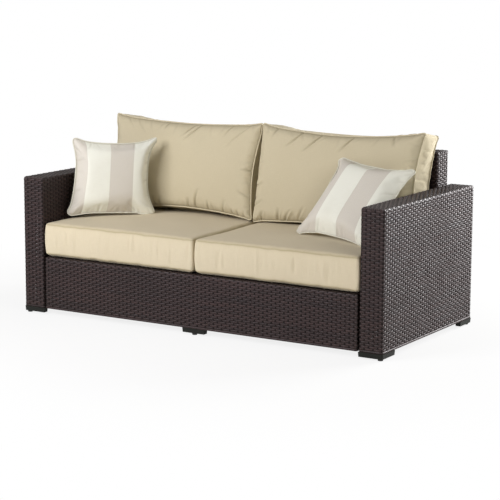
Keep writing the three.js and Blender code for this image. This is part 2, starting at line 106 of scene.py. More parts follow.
def put(tree, kind, sockets=None, **settings):
    """Adds a node of a kind, sets it up and fills or links its inputs."""
    made = tree.nodes.new("ShaderNode" + kind)
    for key, value in settings.items():
        setattr(made, key, value)
    for key, value in (sockets or {}).items():
        if isinstance(value, bpy.types.NodeSocket):
            tree.links.new(value, made.inputs[key])
        else:
            made.inputs[key].default_value = value
    return made


def maths(tree, operation, *values):
    """One step of arithmetic on numbers or outputs."""
    return put(tree, "Math", dict(enumerate(values)), operation=operation).outputs[0]


def stretched(tree, place, factors):
    """A place whose axes are scaled one by one."""
    return put(tree, "VectorMath", {0: place, 1: factors}, operation="MULTIPLY").outputs[0]


def noise(tree, place, scale, detail, roughness=0.5):
    """The value of a noise texture."""
    return put(tree, "TexNoise", {"Vector": place, "Scale": scale, "Detail": detail,
                                  "Roughness": roughness}).outputs[0]


def ranged(tree, value, low, high, **settings):
    """A value that goes from 0 to 1 between low and high."""
    return put(tree, "MapRange", {0: value, 1: low, 2: high}, **settings).outputs[0]


def object_place(tree):
    """The place of a point in its own object."""
    return put(tree, "TexCoord").outputs["Object"]


def mixed(tree, share, first, second):
    """A colour between two others."""
    made = put(tree, "Mix", {0: share, 6: first, 7: second}, data_type="RGBA")
    return made.outputs[2]


def lay_out(tree):
    """Places each node to the right of the nodes that feed it."""
    column = {node: 0 for node in tree.nodes}
    for _ in tree.nodes:
        for link in tree.links:
            column[link.to_node] = max(column[link.to_node], column[link.from_node] + 1)
    filled = {}
    for node in tree.nodes:
        filled[column[node]] = filled.get(column[node], 0) + 1
        node.location = (column[node] * 220, -filled[column[node]] * 260)


def new_group(name, inputs, *outputs):
    """A shader node group. Its inputs are numbers, or a vector where no value is given."""
    tree = bpy.data.node_groups.new(name, "ShaderNodeTree")
    for label, value in inputs.items():
        kind = "NodeSocketVector" if value is None else "NodeSocketFloat"
        socket = tree.interface.new_socket(label, in_out="INPUT", socket_type=kind)
        if value is not None:
            socket.default_value = value
    for label in outputs:
        tree.interface.new_socket(label, in_out="OUTPUT", socket_type="NodeSocketFloat")
    return tree, tree.nodes.new("NodeGroupInput").outputs, tree.nodes.new("NodeGroupOutput").inputs


def use_group(tree, group, sockets):
    """Places a group in a material, with its own values, and returns its outputs."""
    return put(tree, "Group", sockets, node_tree=group).outputs


def empty_tree(owner):
    """The node tree of a material or a world, with nothing in it."""
    owner.use_nodes = True
    owner.node_tree.nodes.clear()
    return owner.node_tree


def new_material(name, shown):
    """An empty node material with a Principled shader. shown is its colour in the viewport."""
    material = bpy.data.materials.new(name)
    tree = empty_tree(material)
    shader = put(tree, "BsdfPrincipled")
    shader.inputs["Base Color"].default_value = shown
    put(tree, "OutputMaterial", {"Surface": shader.outputs[0]})
    material.diffuse_color = shown
    return material, tree, shader


def finish_material(tree, shader, height, strength, distance, shine):
    """Gives a material its relief and its shine."""
    bump = put(tree, "Bump", {"Height": height, "Strength": strength, "Distance": distance})
    tree.links.new(bump.outputs[0], shader.inputs["Normal"])
    shader.inputs["Specular IOR Level"].default_value = shine
    lay_out(tree)


# %% [markdown]
# ## Effects that several finishes share
#
# Five effects come back on more than one material, so each is built once as a node group.
#
# - *Yarn*: outdoor cloth is a plain weave of thick spun yarn. Two sine waves multiplied give
#   its raised crossings, and stretched noise gives the uneven thickness of the yarn.
# - *Strand grain*: resin strand is pushed through a die, which leaves fine lines along it.
# - *Fine grain*: moulded plastic and powder paint are slightly pebbled, like orange peel.
# - *Settled dust*: outdoors, whatever faces up turns a little paler and duller.
# - *Handling*: broad, faint marks where hands and weather have been.

# %% The yarn group
yarn, given, result = new_group("yarn", {
    "Place": None, "Threads per metre": 1400, "Unevenness": 0.5}, "Height", "Shade")
turns = put(yarn, "VectorMath", {0: given["Place"], "Scale": given["Threads per metre"]},
            operation="SCALE").outputs[0]
parts = put(yarn, "SeparateXYZ", {0: turns}).outputs
waves = [maths(yarn, "SINE", maths(yarn, "MULTIPLY", parts[i], math.pi)) for i in (0, 1)]
crossing = maths(yarn, "ABSOLUTE", maths(yarn, "MULTIPLY", *waves))
slubs = [noise(yarn, stretched(yarn, turns, lengthwise), 0.7, 2)
         for lengthwise in ((0.03, 1, 1), (1, 0.03, 1))]
uneven = maths(yarn, "MULTIPLY", maths(yarn, "SUBTRACT", maths(yarn, "ADD", *slubs), 1),
               given["Unevenness"])
yarn.links.new(maths(yarn, "ADD", crossing, uneven), result["Height"])
yarn.links.new(maths(yarn, "ADD", maths(yarn, "MULTIPLY", crossing, 0.3),
                     maths(yarn, "ADD", uneven, 0.4)), result["Shade"])

# %% The strand grain group
grain, given, result = new_group("strand grain", {
    "Place": None, "Lines": 9, "Strand variation": 0.5}, "Height", "Shade")
lines = noise(grain, stretched(grain, given["Place"], (6, 1, 40)), given["Lines"], 3)
each = noise(grain, stretched(grain, given["Place"], (1.5, 0, 97)), 1.7, 1)
varied = maths(grain, "MULTIPLY", maths(grain, "SUBTRACT", each, 0.5), given["Strand variation"])
grain.links.new(lines, result["Height"])
grain.links.new(maths(grain, "ADD", maths(grain, "ADD", varied, varied), lines), result["Shade"])

# %% The fine grain group
pebble, given, result = new_group("fine grain", {"Size per metre": 900, "Spread": 0.5}, "Height", "Shade")
spot = object_place(pebble)
fine = noise(pebble, spot, given["Size per metre"], 2)
broad = maths(pebble, "SUBTRACT", noise(pebble, spot, 14, 4), 0.5)
pebble.links.new(fine, result["Height"])
pebble.links.new(maths(pebble, "ADD", maths(pebble, "MULTIPLY", broad, given["Spread"]),
                       maths(pebble, "MULTIPLY", fine, 0.5)), result["Shade"])

# %% The settled dust group
dust, given, result = new_group("settled dust", {"Amount": 0.3, "Patch size": 9}, "Mask")
facing = put(dust, "SeparateXYZ", {0: put(dust, "NewGeometry").outputs["Normal"]}).outputs[2]
flat = ranged(dust, facing, 0.55, 1.0, interpolation_type="SMOOTHSTEP")
patch = noise(dust, object_place(dust), given["Patch size"], 5)
dust.links.new(maths(dust, "MULTIPLY", maths(dust, "MULTIPLY", flat, patch), given["Amount"]),
               result["Mask"])

# %% The handling group
handling, given, result = new_group("handling", {"Scale": 4, "Strength": 0.3}, "Mask")
marks = noise(handling, object_place(handling), given["Scale"], 6, 0.6)
clear = ranged(handling, marks, 0.4, 0.75, interpolation_type="SMOOTHSTEP")
handling.links.new(maths(handling, "MULTIPLY", clear, given["Strength"]), result["Mask"])

# %% Lay the groups out
for group in (yarn, grain, pebble, dust, handling):
    lay_out(group)
    print("shared effect:", group.name, "with", len(group.nodes), "nodes")

# %% [markdown]
# ## The rattan finish
#
# Garden rattan is coloured resin, dark coffee brown all through, with a satin skin. What
# makes it look alive is that each strand takes the light a little differently. Every strand
# in this model carries three numbers, kept in an attribute: how far along it a point lies,
# how far across, and which strand it is. The grain group turns them into lines and tones. The
# stakes, which stand upright and lie a little deeper than the weavers, get darker colours and
# less shine: their darker colour is painted shade for that recess.

# %% Make the rattan materials
def rattan_material(name, dark, light, rough, shine):
    """Resin strand: two screen colours, a roughness and a shine."""
    material, tree, shader = new_material(name, colour(light))
    strand = put(tree, "Attribute", attribute_name="strand").outputs["Vector"]
    skin = use_group(tree, grain, {"Place": strand, "Lines": 5, "Strand variation": 0.7})
    body = mixed(tree, ranged(tree, skin["Shade"], 0.25, 0.85), colour(dark), colour(light))
    dulled = use_group(tree, dust, {"Amount": 0.1, "Patch size": 7})["Mask"]
    tree.links.new(mixed(tree, dulled, body, colour("6b655c")), shader.inputs["Base Color"])
    worn = use_group(tree, handling, {"Scale": 5, "Strength": 0.1})["Mask"]
    tree.links.new(maths(tree, "ADD", maths(tree, "MULTIPLY_ADD", skin["Shade"], 0.16, rough), maths(
        tree, "ADD", worn, dulled)), shader.inputs["Roughness"])
    shader.inputs["Specular Tint"].default_value = (1, 0.91, 0.96, 1)
    finish_material(tree, shader, skin["Height"], 0.35, 0.4 * MM, shine)
    return material


weaver_finish = rattan_material("rattan_weaver", "201714", "362724", 0.37, 0.28)
# The stakes' darker colours are painted shade where they lie recessed between the weavers.
stake_finish = rattan_material("rattan_stake", "151110", "211b19", 0.45, 0.12)
print("rattan finishes:", weaver_finish.name, stake_finish.name)

# %% [markdown]
# ## Strands
#
# A strand is a ribbon with a flat back and a front that slopes down to its two edges, about
# 9 mm wide. It could be a curve with a bevel, but there are hundreds of them, each following
# its own wave, and their edges have to line up. It is quicker and more exact to compute all
# the strands of one panel together: each has a row of places, a direction outwards and a
# direction across, and the same four-cornered section is swept along all of them.

# %% Sweep strands
SECTION = np.array([(-1, -1), (-0.76, 0), (0.76, 0), (1, -1)])  # across and outwards
ACROSS = [0, 0.33, 0.67, 1]  # where those corners lie across the strand


def sweep(places, outs, acrosses, half_width, thick, closed):
    """Sweeps the section of a strand along some rows of places. Returns points, quads, and for
    each point its place along, across and its strand number. outs and acrosses are each
    place's directions, or one direction for all."""
    count, steps = places.shape[:2]
    outs, acrosses = (np.broadcast_to(way, places.shape) for way in (outs, acrosses))
    section = SECTION * [half_width, thick]
    points = (places[:, :, None] + acrosses[:, :, None] * section[:, 0, None]
              + outs[:, :, None] * section[:, 1, None])
    gaps = np.linalg.norm(np.diff(places, axis=1), axis=2)
    along = np.concatenate([np.zeros((count, 1)), np.cumsum(gaps, axis=1)], axis=1)
    own = np.stack(np.broadcast_arrays(
        along[:, :, None], ACROSS, np.arange(count)[:, None, None]), axis=-1)
    index = np.arange(count * steps * 4).reshape(count, steps, 4)
    here, there = index, np.roll(index, -1, axis=1)
    if not closed:
        here, there = here[:, :-1], there[:, :-1]
    quads = np.stack([here, there, np.roll(there, -1, axis=2), np.roll(here, -1, axis=2)], axis=-1)
    quads = quads.reshape(-1, 4)
    if not closed:
        quads = np.vstack([quads, index[:, 0], index[:, -1, ::-1]])
    return points.reshape(-1, 3), quads, own.reshape(-1, 3)


# %% Turn strands into one mesh
def new_mesh(name, points, quads, pattern=None):
    """A mesh of quads, with the flat pattern of its cloth as a map if it has one."""
    mesh = bpy.data.meshes.new(name)
    mesh.from_pydata(points.tolist(), [], quads.tolist())
    if pattern is not None:
        mesh.uv_layers.new(name="cloth").data.foreach_set("uv", pattern.astype(np.float32).ravel())
    return mesh


def strand_piece(name, swept, finish, node):
    """Joins swept strands into one piece that stands for a woven node of the frame."""
    points, quads, own, first, number = [], [], [], 0, 0
    for some, faces, carried in swept:
        points.append(some)
        quads.append(faces + first)
        own.append(carried + [0, 0, number])
        first += len(some)
        number += int(carried[:, 2].max()) + 1
    points, quads, own = np.vstack(points), np.vstack(quads), np.vstack(own)
    mesh = new_mesh(name, points, quads)
    mesh.attributes.new("strand", "FLOAT_VECTOR", "POINT").data.foreach_set(
        "vector", (own * [1, 1, 0.1]).astype(np.float32).ravel())
    mesh.shade_smooth()
    mesh.set_sharp_from_angle(angle=math.radians(70))
    strip_map(mesh, own[quads.ravel()], number)
    mesh.materials.append(finish)
    piece = add_object(name, mesh)
    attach(piece, "frame")
    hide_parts(node)
    print(f"{name}: {number} strands, {len(quads)} quads")


def strip_map(mesh, own, number):
    """Lays each strand flat as one strip of the texture map, under the strand before it. The
    faces that close a round, and those of the strand's back, are unrolled past the others."""
    along, over, strand = own.reshape(-1, 4, 3).transpose(2, 0, 1)
    longest, all_round, margin = along.max() + 20 * MM, 1.33, 0.05
    closing = np.ptp(along, axis=1) > 0.5 * longest
    along[closing] = np.where(along[closing] < 0.25 * longest, longest - 10 * MM, along[closing])
    back = np.ptp(over, axis=1) > 0.9
    over = np.where(back[:, None] & (over < 0.5), all_round, over)
    down = (strand + margin + over / all_round * (1 - 2 * margin)) / number
    placed = np.stack([along / longest, down], axis=-1)
    layer = mesh.uv_layers.new(name="OFBake")
    layer.data.foreach_set("uv", placed.astype(np.float32).ravel())


# %% [markdown]
# ## Weaving a hollow panel
#
# An arm, the back and the apron are all woven the same way: upright stakes about 20 mm apart
# stand all round a boxy tube frame, and a weaver goes round and round them, over one stake and
# under the next. The next row does the opposite, which gives the brick pattern of short
# bright dashes. Over the top, the stakes of the two long sides are one piece that arches
# over, and short rows run lengthwise between the ends.
#
# The number of stakes has to be even, or the over-and-under would not meet itself again at
# the end of each round. A wide flat strand is bound round the lower rim, where the real one
# hides the cut ends.

# %% Paths round a panel and over its top
UP, ALONG = np.array([0, 0, 1.0]), np.array([1.0, 0, 0])
STAKE_GAP, ROW_GAP = 20 * MM, 9.2 * MM
FILLS = 0.475  # half a strand's width, as a share of its row
EDGE, RIM, RIM_THICK, RIM_INSET = 9 * MM, 9 * MM, 1.6 * MM, 0.3 * MM
SWING, SURFACE, STRAND = 1.6 * MM, 1.65 * MM, 0.85 * MM
STAKE_SWING, STAKE_DEPTH, STAKE_SECTION = 0.2 * MM, 1.75 * MM, (3.4 * MM, 1.25 * MM)
TUCKED = 3.2 * MM  # how deep the tip of a stake lies under the rows on top


def bent_path(ends, end_outs, corners):
    """A dense path round some corners: points, outward directions, and the distance along it.
    A corner is its centre and the angles where it starts and stops."""
    points, outs = [ends[0]], [end_outs[0]]
    for centre, start, stop in corners:
        for angle in np.radians(np.linspace(start, stop, 9)):
            out = np.array([math.cos(angle), math.sin(angle)])
            points.append(np.array(centre) + out * EDGE)
            outs.append(out)
    points, outs = np.array(points + [ends[1]], float), np.array(outs + [end_outs[1]], float)
    return points, outs, np.append(0, np.cumsum(np.linalg.norm(np.diff(points, axis=0), axis=1)))


def walk(path, distance):
    """Places and outward directions at some distances along a path."""
    points, outs, along = path
    place = np.stack([np.interp(distance, along, points[:, i]) for i in (0, 1)], -1)
    out = np.stack([np.interp(distance, along, outs[:, i]) for i in (0, 1)], -1)
    return place, out / np.linalg.norm(out, axis=-1, keepdims=True)


def widened(flat, before=0, after=0):
    """Adds a zero coordinate to each of some flat places, before or after its own two."""
    return np.pad(flat, [(0, 0)] * (flat.ndim - 1) + [(before, after)])


def stake_wave(rows, numbers):
    """How far stakes sway under the weavers, the opposite way from one stake to the next."""
    sway = np.cos(np.pi * (rows - 0.5 + np.asarray(numbers)[:, None]))
    return -STAKE_SWING * sway - STAKE_DEPTH


def round_path(half_a, half_b):
    """Anticlockwise round a rounded rectangle, from the middle of its front."""
    a, b = half_a - EDGE, half_b - EDGE
    return bent_path([(0, -half_b)] * 2, [(0, -1)] * 2, [
        ((a, -b), -90, 0), ((a, b), 0, 90), ((-a, b), 90, 180), ((-a, -b), 180, 270)])


def arch_path(half_b, low, high):
    """Up the front, over the top and down the rear, in the plane across the panel."""
    b, top = half_b - EDGE, high - EDGE
    return bent_path([(-half_b, low), (half_b, low)], [(-1, 0), (1, 0)], [
        ((-b, top), 180, 90), ((b, top), 90, 0)])


# %% Rows that go round, and rows along the top
def weave_wave(place):
    """1 over a stake and -1 under the next: a short crest, and a longer stretch low down."""
    wave = np.cos(np.pi * place)
    return wave - 0.22 * (1 - wave ** 2)


def rounds(path, stakes, levels, first_row):
    """Closed rows at some heights. They pass over even stakes in even rows."""
    turns = np.arange(stakes * 4) / 4
    place, out = walk(path, turns * path[2][-1] / stakes)
    rows = first_row + np.arange(len(levels))[:, None]
    lift = SWING * weave_wave(turns + rows) - SURFACE
    flat = place + out * lift[:, :, None]
    places = widened(flat, after=1) + levels[:, None, None] * UP
    return sweep(places, widened(out, after=1), UP, ROW_GAP * FILLS, STRAND, True)


def top_rows(arch, gap, half_a, count, first_row, start, end):
    """Open rows along the top, bent down over both ends of the panel. Their tips dive under
    the rounds: sunk is how much deeper they lie there, and drop how much lower."""
    middles = start + (np.arange(count) + 0.5) * (end - start) / count
    place, out = walk(arch, middles)
    reach = half_a - EDGE
    steps = int(reach / gap * 4)
    flat = np.zeros(2 * steps + 1)
    bend = np.radians([22.5, 45, 67.5, 90, 90])
    angles = np.concatenate([-bend[::-1], flat, bend])
    a = np.concatenate([np.full(5, -reach), np.arange(-steps, steps + 1) * gap / 4, np.full(5, reach)])
    sunk = np.concatenate([[2, 2, 1, 0, 0], flat, [0, 0, 1, 2, 2]]) * MM
    drop = np.concatenate([[3, 0, 0, 0, 0], flat, [0, 0, 0, 0, 3]]) * MM
    rows = first_row + np.arange(count)[:, None]
    wave = SWING * weave_wave(a / gap + rows) - SURFACE - sunk
    normal = widened(out, before=1)[:, None]
    outs = normal * np.cos(angles)[:, None] + ALONG * np.sin(angles)[:, None]
    core = widened(place, before=1)[:, None] - normal * EDGE
    places = core + a[:, None] * ALONG + outs * EDGE - normal * drop[:, None]
    return sweep(places + outs * wave[:, :, None], outs, np.cross(normal, ALONG),
                 (end - start) / count * FILLS, STRAND, False)


# %% Stakes
def arched_stakes(arch, at, numbers, row_at):
    """Stakes that stand on the front, arch over the top and end on the rear."""
    rows = np.arange(0, row_at[1][-1] + 0.01, 0.5)
    place, out = walk(arch, np.interp(rows, row_at[1], row_at[0]))
    lift = stake_wave(rows, numbers)
    places = widened(place + out * lift[:, :, None], before=1) + at[:, None, None] * ALONG
    return sweep(places, widened(out, before=1), -ALONG, *STAKE_SECTION, False)


def end_stakes(path, distances, numbers, low, row, count):
    """Stakes that stand on the ends of a panel and turn in under the rows on top."""
    place, out = walk(path, np.asarray(distances))
    rows = np.arange(0, count + 0.01, 0.5)
    lift = stake_wave(rows, numbers)
    heights = low + rows * row
    bend = np.radians([30, 60, 90])
    lift = np.concatenate([lift, np.full((len(place), 3), -TUCKED)], axis=1)
    heights = np.concatenate([heights, heights[-1] + EDGE * np.sin(bend)])
    inward = np.concatenate([0 * rows, EDGE * (1 - np.cos(bend))])
    tip = np.concatenate([0 * rows, bend])
    flat = widened(out, after=1)[:, None]
    outs = flat * np.cos(tip)[:, None] + UP * np.sin(tip)[:, None]
    base = widened(place, after=1)[:, None]
    places = base - flat * inward[:, None] + heights[:, None] * UP + outs * lift[:, :, None]
    return sweep(places, outs, np.cross(flat, UP), *STAKE_SECTION, False)


# %% [markdown]
# A panel is planned lying along X about its own middle. The arms lie along Y, so their
# strands are turned by a quarter before they are moved into place. Each woven panel gives
# two pieces, or a few where it is large: its weavers and its stakes.

# %% Weave a panel
def woven_panel(node, along_y, split=1):
    """Weaves a hollow panel. split is how many pieces its rounds are shared out over."""
    low, high = (np.array(corner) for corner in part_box(node))
    middle, half = (low + high) / 2, (high - low) / 2
    half_a, half_b = (half[1], half[0]) if along_y else (half[0], half[1])
    path = round_path(half_a, half_b)
    stakes = 2 * round(path[2][-1] / STAKE_GAP / 2)
    gap = path[2][-1] / stakes
    base, shoulder = low[2] + RIM, high[2] - EDGE
    count = round((shoulder - base) / ROW_GAP)
    row = (shoulder - base) / count
    arch = arch_path(half_b, base, high[2])
    side, over = shoulder - base, arch[2][-1] - 2 * (shoulder - base)
    tops = max(2, round(over / ROW_GAP))
    row_at = (np.cumsum([0, side, over, side]), np.cumsum([0, count, tops, count]))

    levels = base + (np.arange(count) + 0.5) * row
    place, out = walk(path, np.arange(stakes * 4) / 4 * gap)
    rim_places = widened(place - out * RIM_INSET, after=1) + (low[2] + RIM / 2) * UP
    rim = sweep(rim_places[None], widened(out, after=1), UP, RIM * 0.49, RIM_THICK, True)

    inner = int((half_a - EDGE) / gap)
    numbers = np.arange(-inner, inner + 1)
    ends = [i for i in range(stakes) if inner < i % (stakes / 2) < stakes / 2 - inner]
    weavers = [[rounds(path, stakes, levels[rows], rows[0])]
               for rows in np.array_split(np.arange(count), split)]
    weavers[0].append(rim)
    weavers[-1].append(top_rows(arch, gap, half_a, tops, count, side, side + over))
    standing = [[arched_stakes(arch, some * gap, some, row_at)]
                for some in np.array_split(numbers, max(1, split - 1))]
    standing[0].append(end_stakes(path, np.array(ends) * gap, ends, base, row, count))

    def settled(points):
        x, y, z = points.T
        return np.column_stack([-y, x, z] if along_y else [x, y, z]) + middle * [1, 1, 0]

    for name, parts, finish in (("weavers", weavers, weaver_finish), ("stakes", standing, stake_finish)):
        for i, part in enumerate(parts):
            label = node.replace("weave", name) + (f"_{i + 1}" if len(parts) > 1 else "")
            strand_piece(label, [(settled(points), *rest) for points, *rest in part], finish, node)
    print(f"{node}: {stakes} stakes {gap / MM:.1f} mm apart, {count} rows {row / MM:.2f} mm high")


woven_panel("left_arm_weave", True, split=2)
woven_panel("right_arm_weave", True, split=2)
woven_panel("back_weave", False, split=3)
woven_panel("apron_weave", False)

# %% [markdown]
# ## The seat deck
#
# The cushions lie on a flat woven deck between the arms, stretched over the seat's rails. It
# is the same plain weave, but flat: its rows run along the sofa and its stakes from front to
# back.

# %% Weave the deck
DECK_SWING, DECK_STAKE_SWING, DECK_DEPTH, DECK_THICK = 1.2 * MM, 0.3 * MM, 1.3 * MM, 1.1 * MM


def woven_deck(node):
    low, high = (np.array(corner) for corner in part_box(node))
    size = high - low
    rows, stakes = round(size[1] / ROW_GAP), round(size[0] / STAKE_GAP)
    row, gap = size[1] / rows, size[0] / stakes

    def flat_strands(x, y, swing, side, half_width):
        lift = swing * np.cos(np.pi * (x - 0.5 + y - 0.5)) - DECK_DEPTH
        places = np.stack(np.broadcast_arrays(low[0] + x * gap, low[1] + y * row, high[2] + lift), -1)
        return sweep(places, UP, side, half_width, DECK_THICK, False)

    weavers = flat_strands(np.arange(stakes * 4 + 1) / 4, np.arange(rows)[:, None] + 0.5,
                           DECK_SWING, [0, 1.0, 0], row * 0.47)
    standing = flat_strands(np.arange(stakes)[:, None] + 0.5, np.arange(rows * 2 + 1) / 2,
                            -DECK_STAKE_SWING, -ALONG, STAKE_SECTION[0])
    strand_piece("seat_deck_weavers", [weavers], weaver_finish, node)
    strand_piece("seat_deck_stakes", [standing], stake_finish, node)


woven_deck("seat_deck_weave")

# %% [markdown]
# ## Feet, glides, tubes and bolts
#
# These are already the right shape in the frame, so they stay and only get better finishes.
# The feet are dark grey moulded plastic with a faint pebbled skin and faint worn patches in
# its shine. The glides are plain black plastic. The tubes inside are powder coated, and the
# bolts are zinc plated, with the slightly cloudy tone that zinc has.

# %% Finishes for the hard parts
def grained_material(name, dark, light, rough, bump, metal=0.0, dusty=0.3, size=900, shine=0.5):
    """A pebbled hard skin. bump is the strength of its relief, size its grains per metre."""
    material, tree, shader = new_material(name, colour(light))
    skin = use_group(tree, pebble, {"Size per metre": size, "Spread": 0.6})
    body = mixed(tree, ranged(tree, skin["Shade"], 0.1, 0.4), colour(dark), colour(light))
    fallen = use_group(tree, dust, {"Amount": dusty, "Patch size": 30})["Mask"]
    tree.links.new(mixed(tree, fallen, body, colour("9a958a")), shader.inputs["Base Color"])
    worn = use_group(tree, handling, {"Scale": 25, "Strength": 0.15})["Mask"]
    tree.links.new(maths(tree, "ADD", maths(tree, "MULTIPLY_ADD", skin["Shade"], 0.15, rough), worn),
                   shader.inputs["Roughness"])
    shader.inputs["Metallic"].default_value = metal
    finish_material(tree, shader, skin["Height"], bump, 0.3 * MM, shine)
    return material


KINDS = {"bolt": "zinc", "foot_": "foot", "glide_": "glide"}
hard_finishes = {
    "foot": grained_material("foot_plastic", "1c1d1a", "262723", 0.55, 0.4, dusty=0.12, shine=0.15),
    "glide": grained_material("glide_plastic", "161615", "232322", 0.4, 0.3),
    "zinc": grained_material("zinc_plating", "8f9294", "b4b6b8", 0.28, 0.15, metal=1.0, dusty=0.1),
    "tube": grained_material("frame_paint", "211f1d", "322f2c", 0.38, 0.3, size=1600),
}
for name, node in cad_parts.items():
    kind = next((kind for part, kind in KINDS.items() if part in name), "tube")
    if not any(part in name for part in ("weave", "cushion", "pillow")):
        node.data.materials.clear()
        node.data.materials.append(hard_finishes[kind])
print("hard finishes:", [m.name for m in hard_finishes.values()])

# %% [markdown]
# ## The cloth finishes
#
# The seat and back covers are a plain sand coloured outdoor cloth. Its threads are about
# 0.7 mm apart, so from across a garden only a soft, slightly uneven tone is left of them, and
# close up the crossings stand out in relief. The pillows are the same kind of cloth, woven in
# broad stripes of cream and taupe. A cover is dyed yarn, not print, so both colours share one
# weave, and the edge of a stripe is as crisp as one thread.
#
# Each cover carries a map named *cloth*, which is the flat pattern that it was cut from, in
# metres. The weave follows the map, so it runs straight on each panel and turns at a seam. It
# also carries a value named *crease*, 1 in the groove beside a seam and up to 0.6 in the deeper
# folds. There the cloth's colour is darkened towards a darker copy of it: painted shade.

# %% Make the plain cloth
def cloth_tone(tree, light, dark, uneven):
    """Base colour of a cloth, and the height of its threads."""
    place = put(tree, "UVMap", uv_map="cloth").outputs[0]
    threads = use_group(tree, yarn, {"Place": place, "Threads per metre": 1400, "Unevenness": uneven})
    return mixed(tree, ranged(tree, threads["Shade"], 0.1, 0.8), dark, light), threads["Height"], place


def finish_cloth(tree, shader, body, height, crease_shade):
    """Paints shade into the creases, and gives the cloth its relief, roughness and sheen."""
    crease = put(tree, "Attribute", attribute_name="crease").outputs["Fac"]
    # The crease value mixes in the painted shade colour.
    tree.links.new(mixed(tree, maths(tree, "MULTIPLY", crease, 0.8), body, crease_shade),
                   shader.inputs["Base Color"])
    tree.links.new(maths(tree, "MULTIPLY_ADD", height, -0.08, 0.93), shader.inputs["Roughness"])
    shader.inputs["Sheen Weight"].default_value = 0.1
    shader.inputs["Sheen Roughness"].default_value = 0.5
    finish_material(tree, shader, height, 0.45, 0.3 * MM, 0.25)


def cloth_material(name, light, dark, worn, crease_shade):
    """A plain cloth from four screen colours."""
    material, tree, shader = new_material(name, colour(light))
    body, height, _ = cloth_tone(tree, colour(light), colour(dark), 0.55)
    marks = use_group(tree, handling, {"Scale": 3.5, "Strength": 0.22})["Mask"]
    fallen = use_group(tree, dust, {"Amount": 0.12, "Patch size": 5})["Mask"]
    used = mixed(tree, maths(tree, "ADD", marks, fallen), body, colour(worn))
    finish_cloth(tree, shader, used, height, colour(crease_shade))
    return material


# The last colour of each cloth is the painted shade put in its folds and beside its seams.
seat_cloth = cloth_material("seat_cloth", "dbcfb4", "ccbfa3", "ccbfa3", "b3a681")
# The back cloth is the seat's cloth set a little darker: painted shade on the upright back cushions.
back_cloth = cloth_material("back_cloth", "d1c6aa", "c3b89b", "c4b99c", "776d52")
cord_cloth = cloth_material("piping_cloth", "ddd3b8", "cbc0a2", "cdc2a5", "a39578")
cream_cord = cloth_material("cream_piping_cloth", "e9e7d9", "dcdaca", "d3cdbb", "b5ae9c")
# The seat seam's cord colour is partly the thread and partly painted shade of the seam's groove.
seam_thread_and_shade = cloth_material("seam_thread_and_shade_cloth", "bdaf92", "a6987b", "aea185", "8d7f62")


# %% Make the striped cloth
def striped_material(name, edges):
    """Taupe, cream, taupe, cream. edges are the places across the width where they change."""
    cream, taupe = ("f7f7ec", "ebebde"), ("e3ddd3", "d6d0c5")
    material, tree, shader = new_material(name, colour(cream[0]))
    pale, height, place = cloth_tone(tree, colour(cream[0]), colour(cream[1]), 0.4)
    deep = mixed(tree, ranged(tree, height, 0.1, 1.2), colour(taupe[1]), colour(taupe[0]))
    over = put(tree, "SeparateXYZ", {0: place}).outputs[0]
    first, second, third = [maths(tree, "GREATER_THAN", over, edge) for edge in edges]
    stripe = maths(tree, "ADD", maths(tree, "SUBTRACT", first, second), third)
    marks = use_group(tree, handling, {"Scale": 7, "Strength": 0.18})["Mask"]
    used = mixed(tree, marks, mixed(tree, stripe, deep, pale), colour("d3cdbb"))
    # The colour a79f8c is the painted shade in the pillow's folds and beside its seam.
    finish_cloth(tree, shader, used, height, colour("a79f8c"))
    return material


# %% [markdown]
# ## Sewing a cover
#
# A box cushion is sewn from two flat panels and a strip that joins them all round. A pillow
# has no strip: its two panels meet in one seam. The pattern is made as a square grid whose
# corners are rounded a little, because a seam cannot turn a sharp corner. The grid keeps track
# of its seams, so that the piping can be laid along them after the cover has been filled. A
# remesh would give more even cells, but would lose the seams.

# %% Cut and sew the panels
def rounded(grid, corner):
    """Moves the points of a square grid into a square with round corners."""
    moved = grid.copy()
    a, b = np.clip((np.abs(grid) - (1 - corner)) / corner, 0, 1).T
    both = (a > 0) & (b > 0)
    pulled = np.stack([a * np.sqrt(1 - b * b / 2), b * np.sqrt(1 - a * a / 2)], -1)
    moved[both] = (np.sign(grid) * (1 - corner + corner * pulled))[both]
    return moved


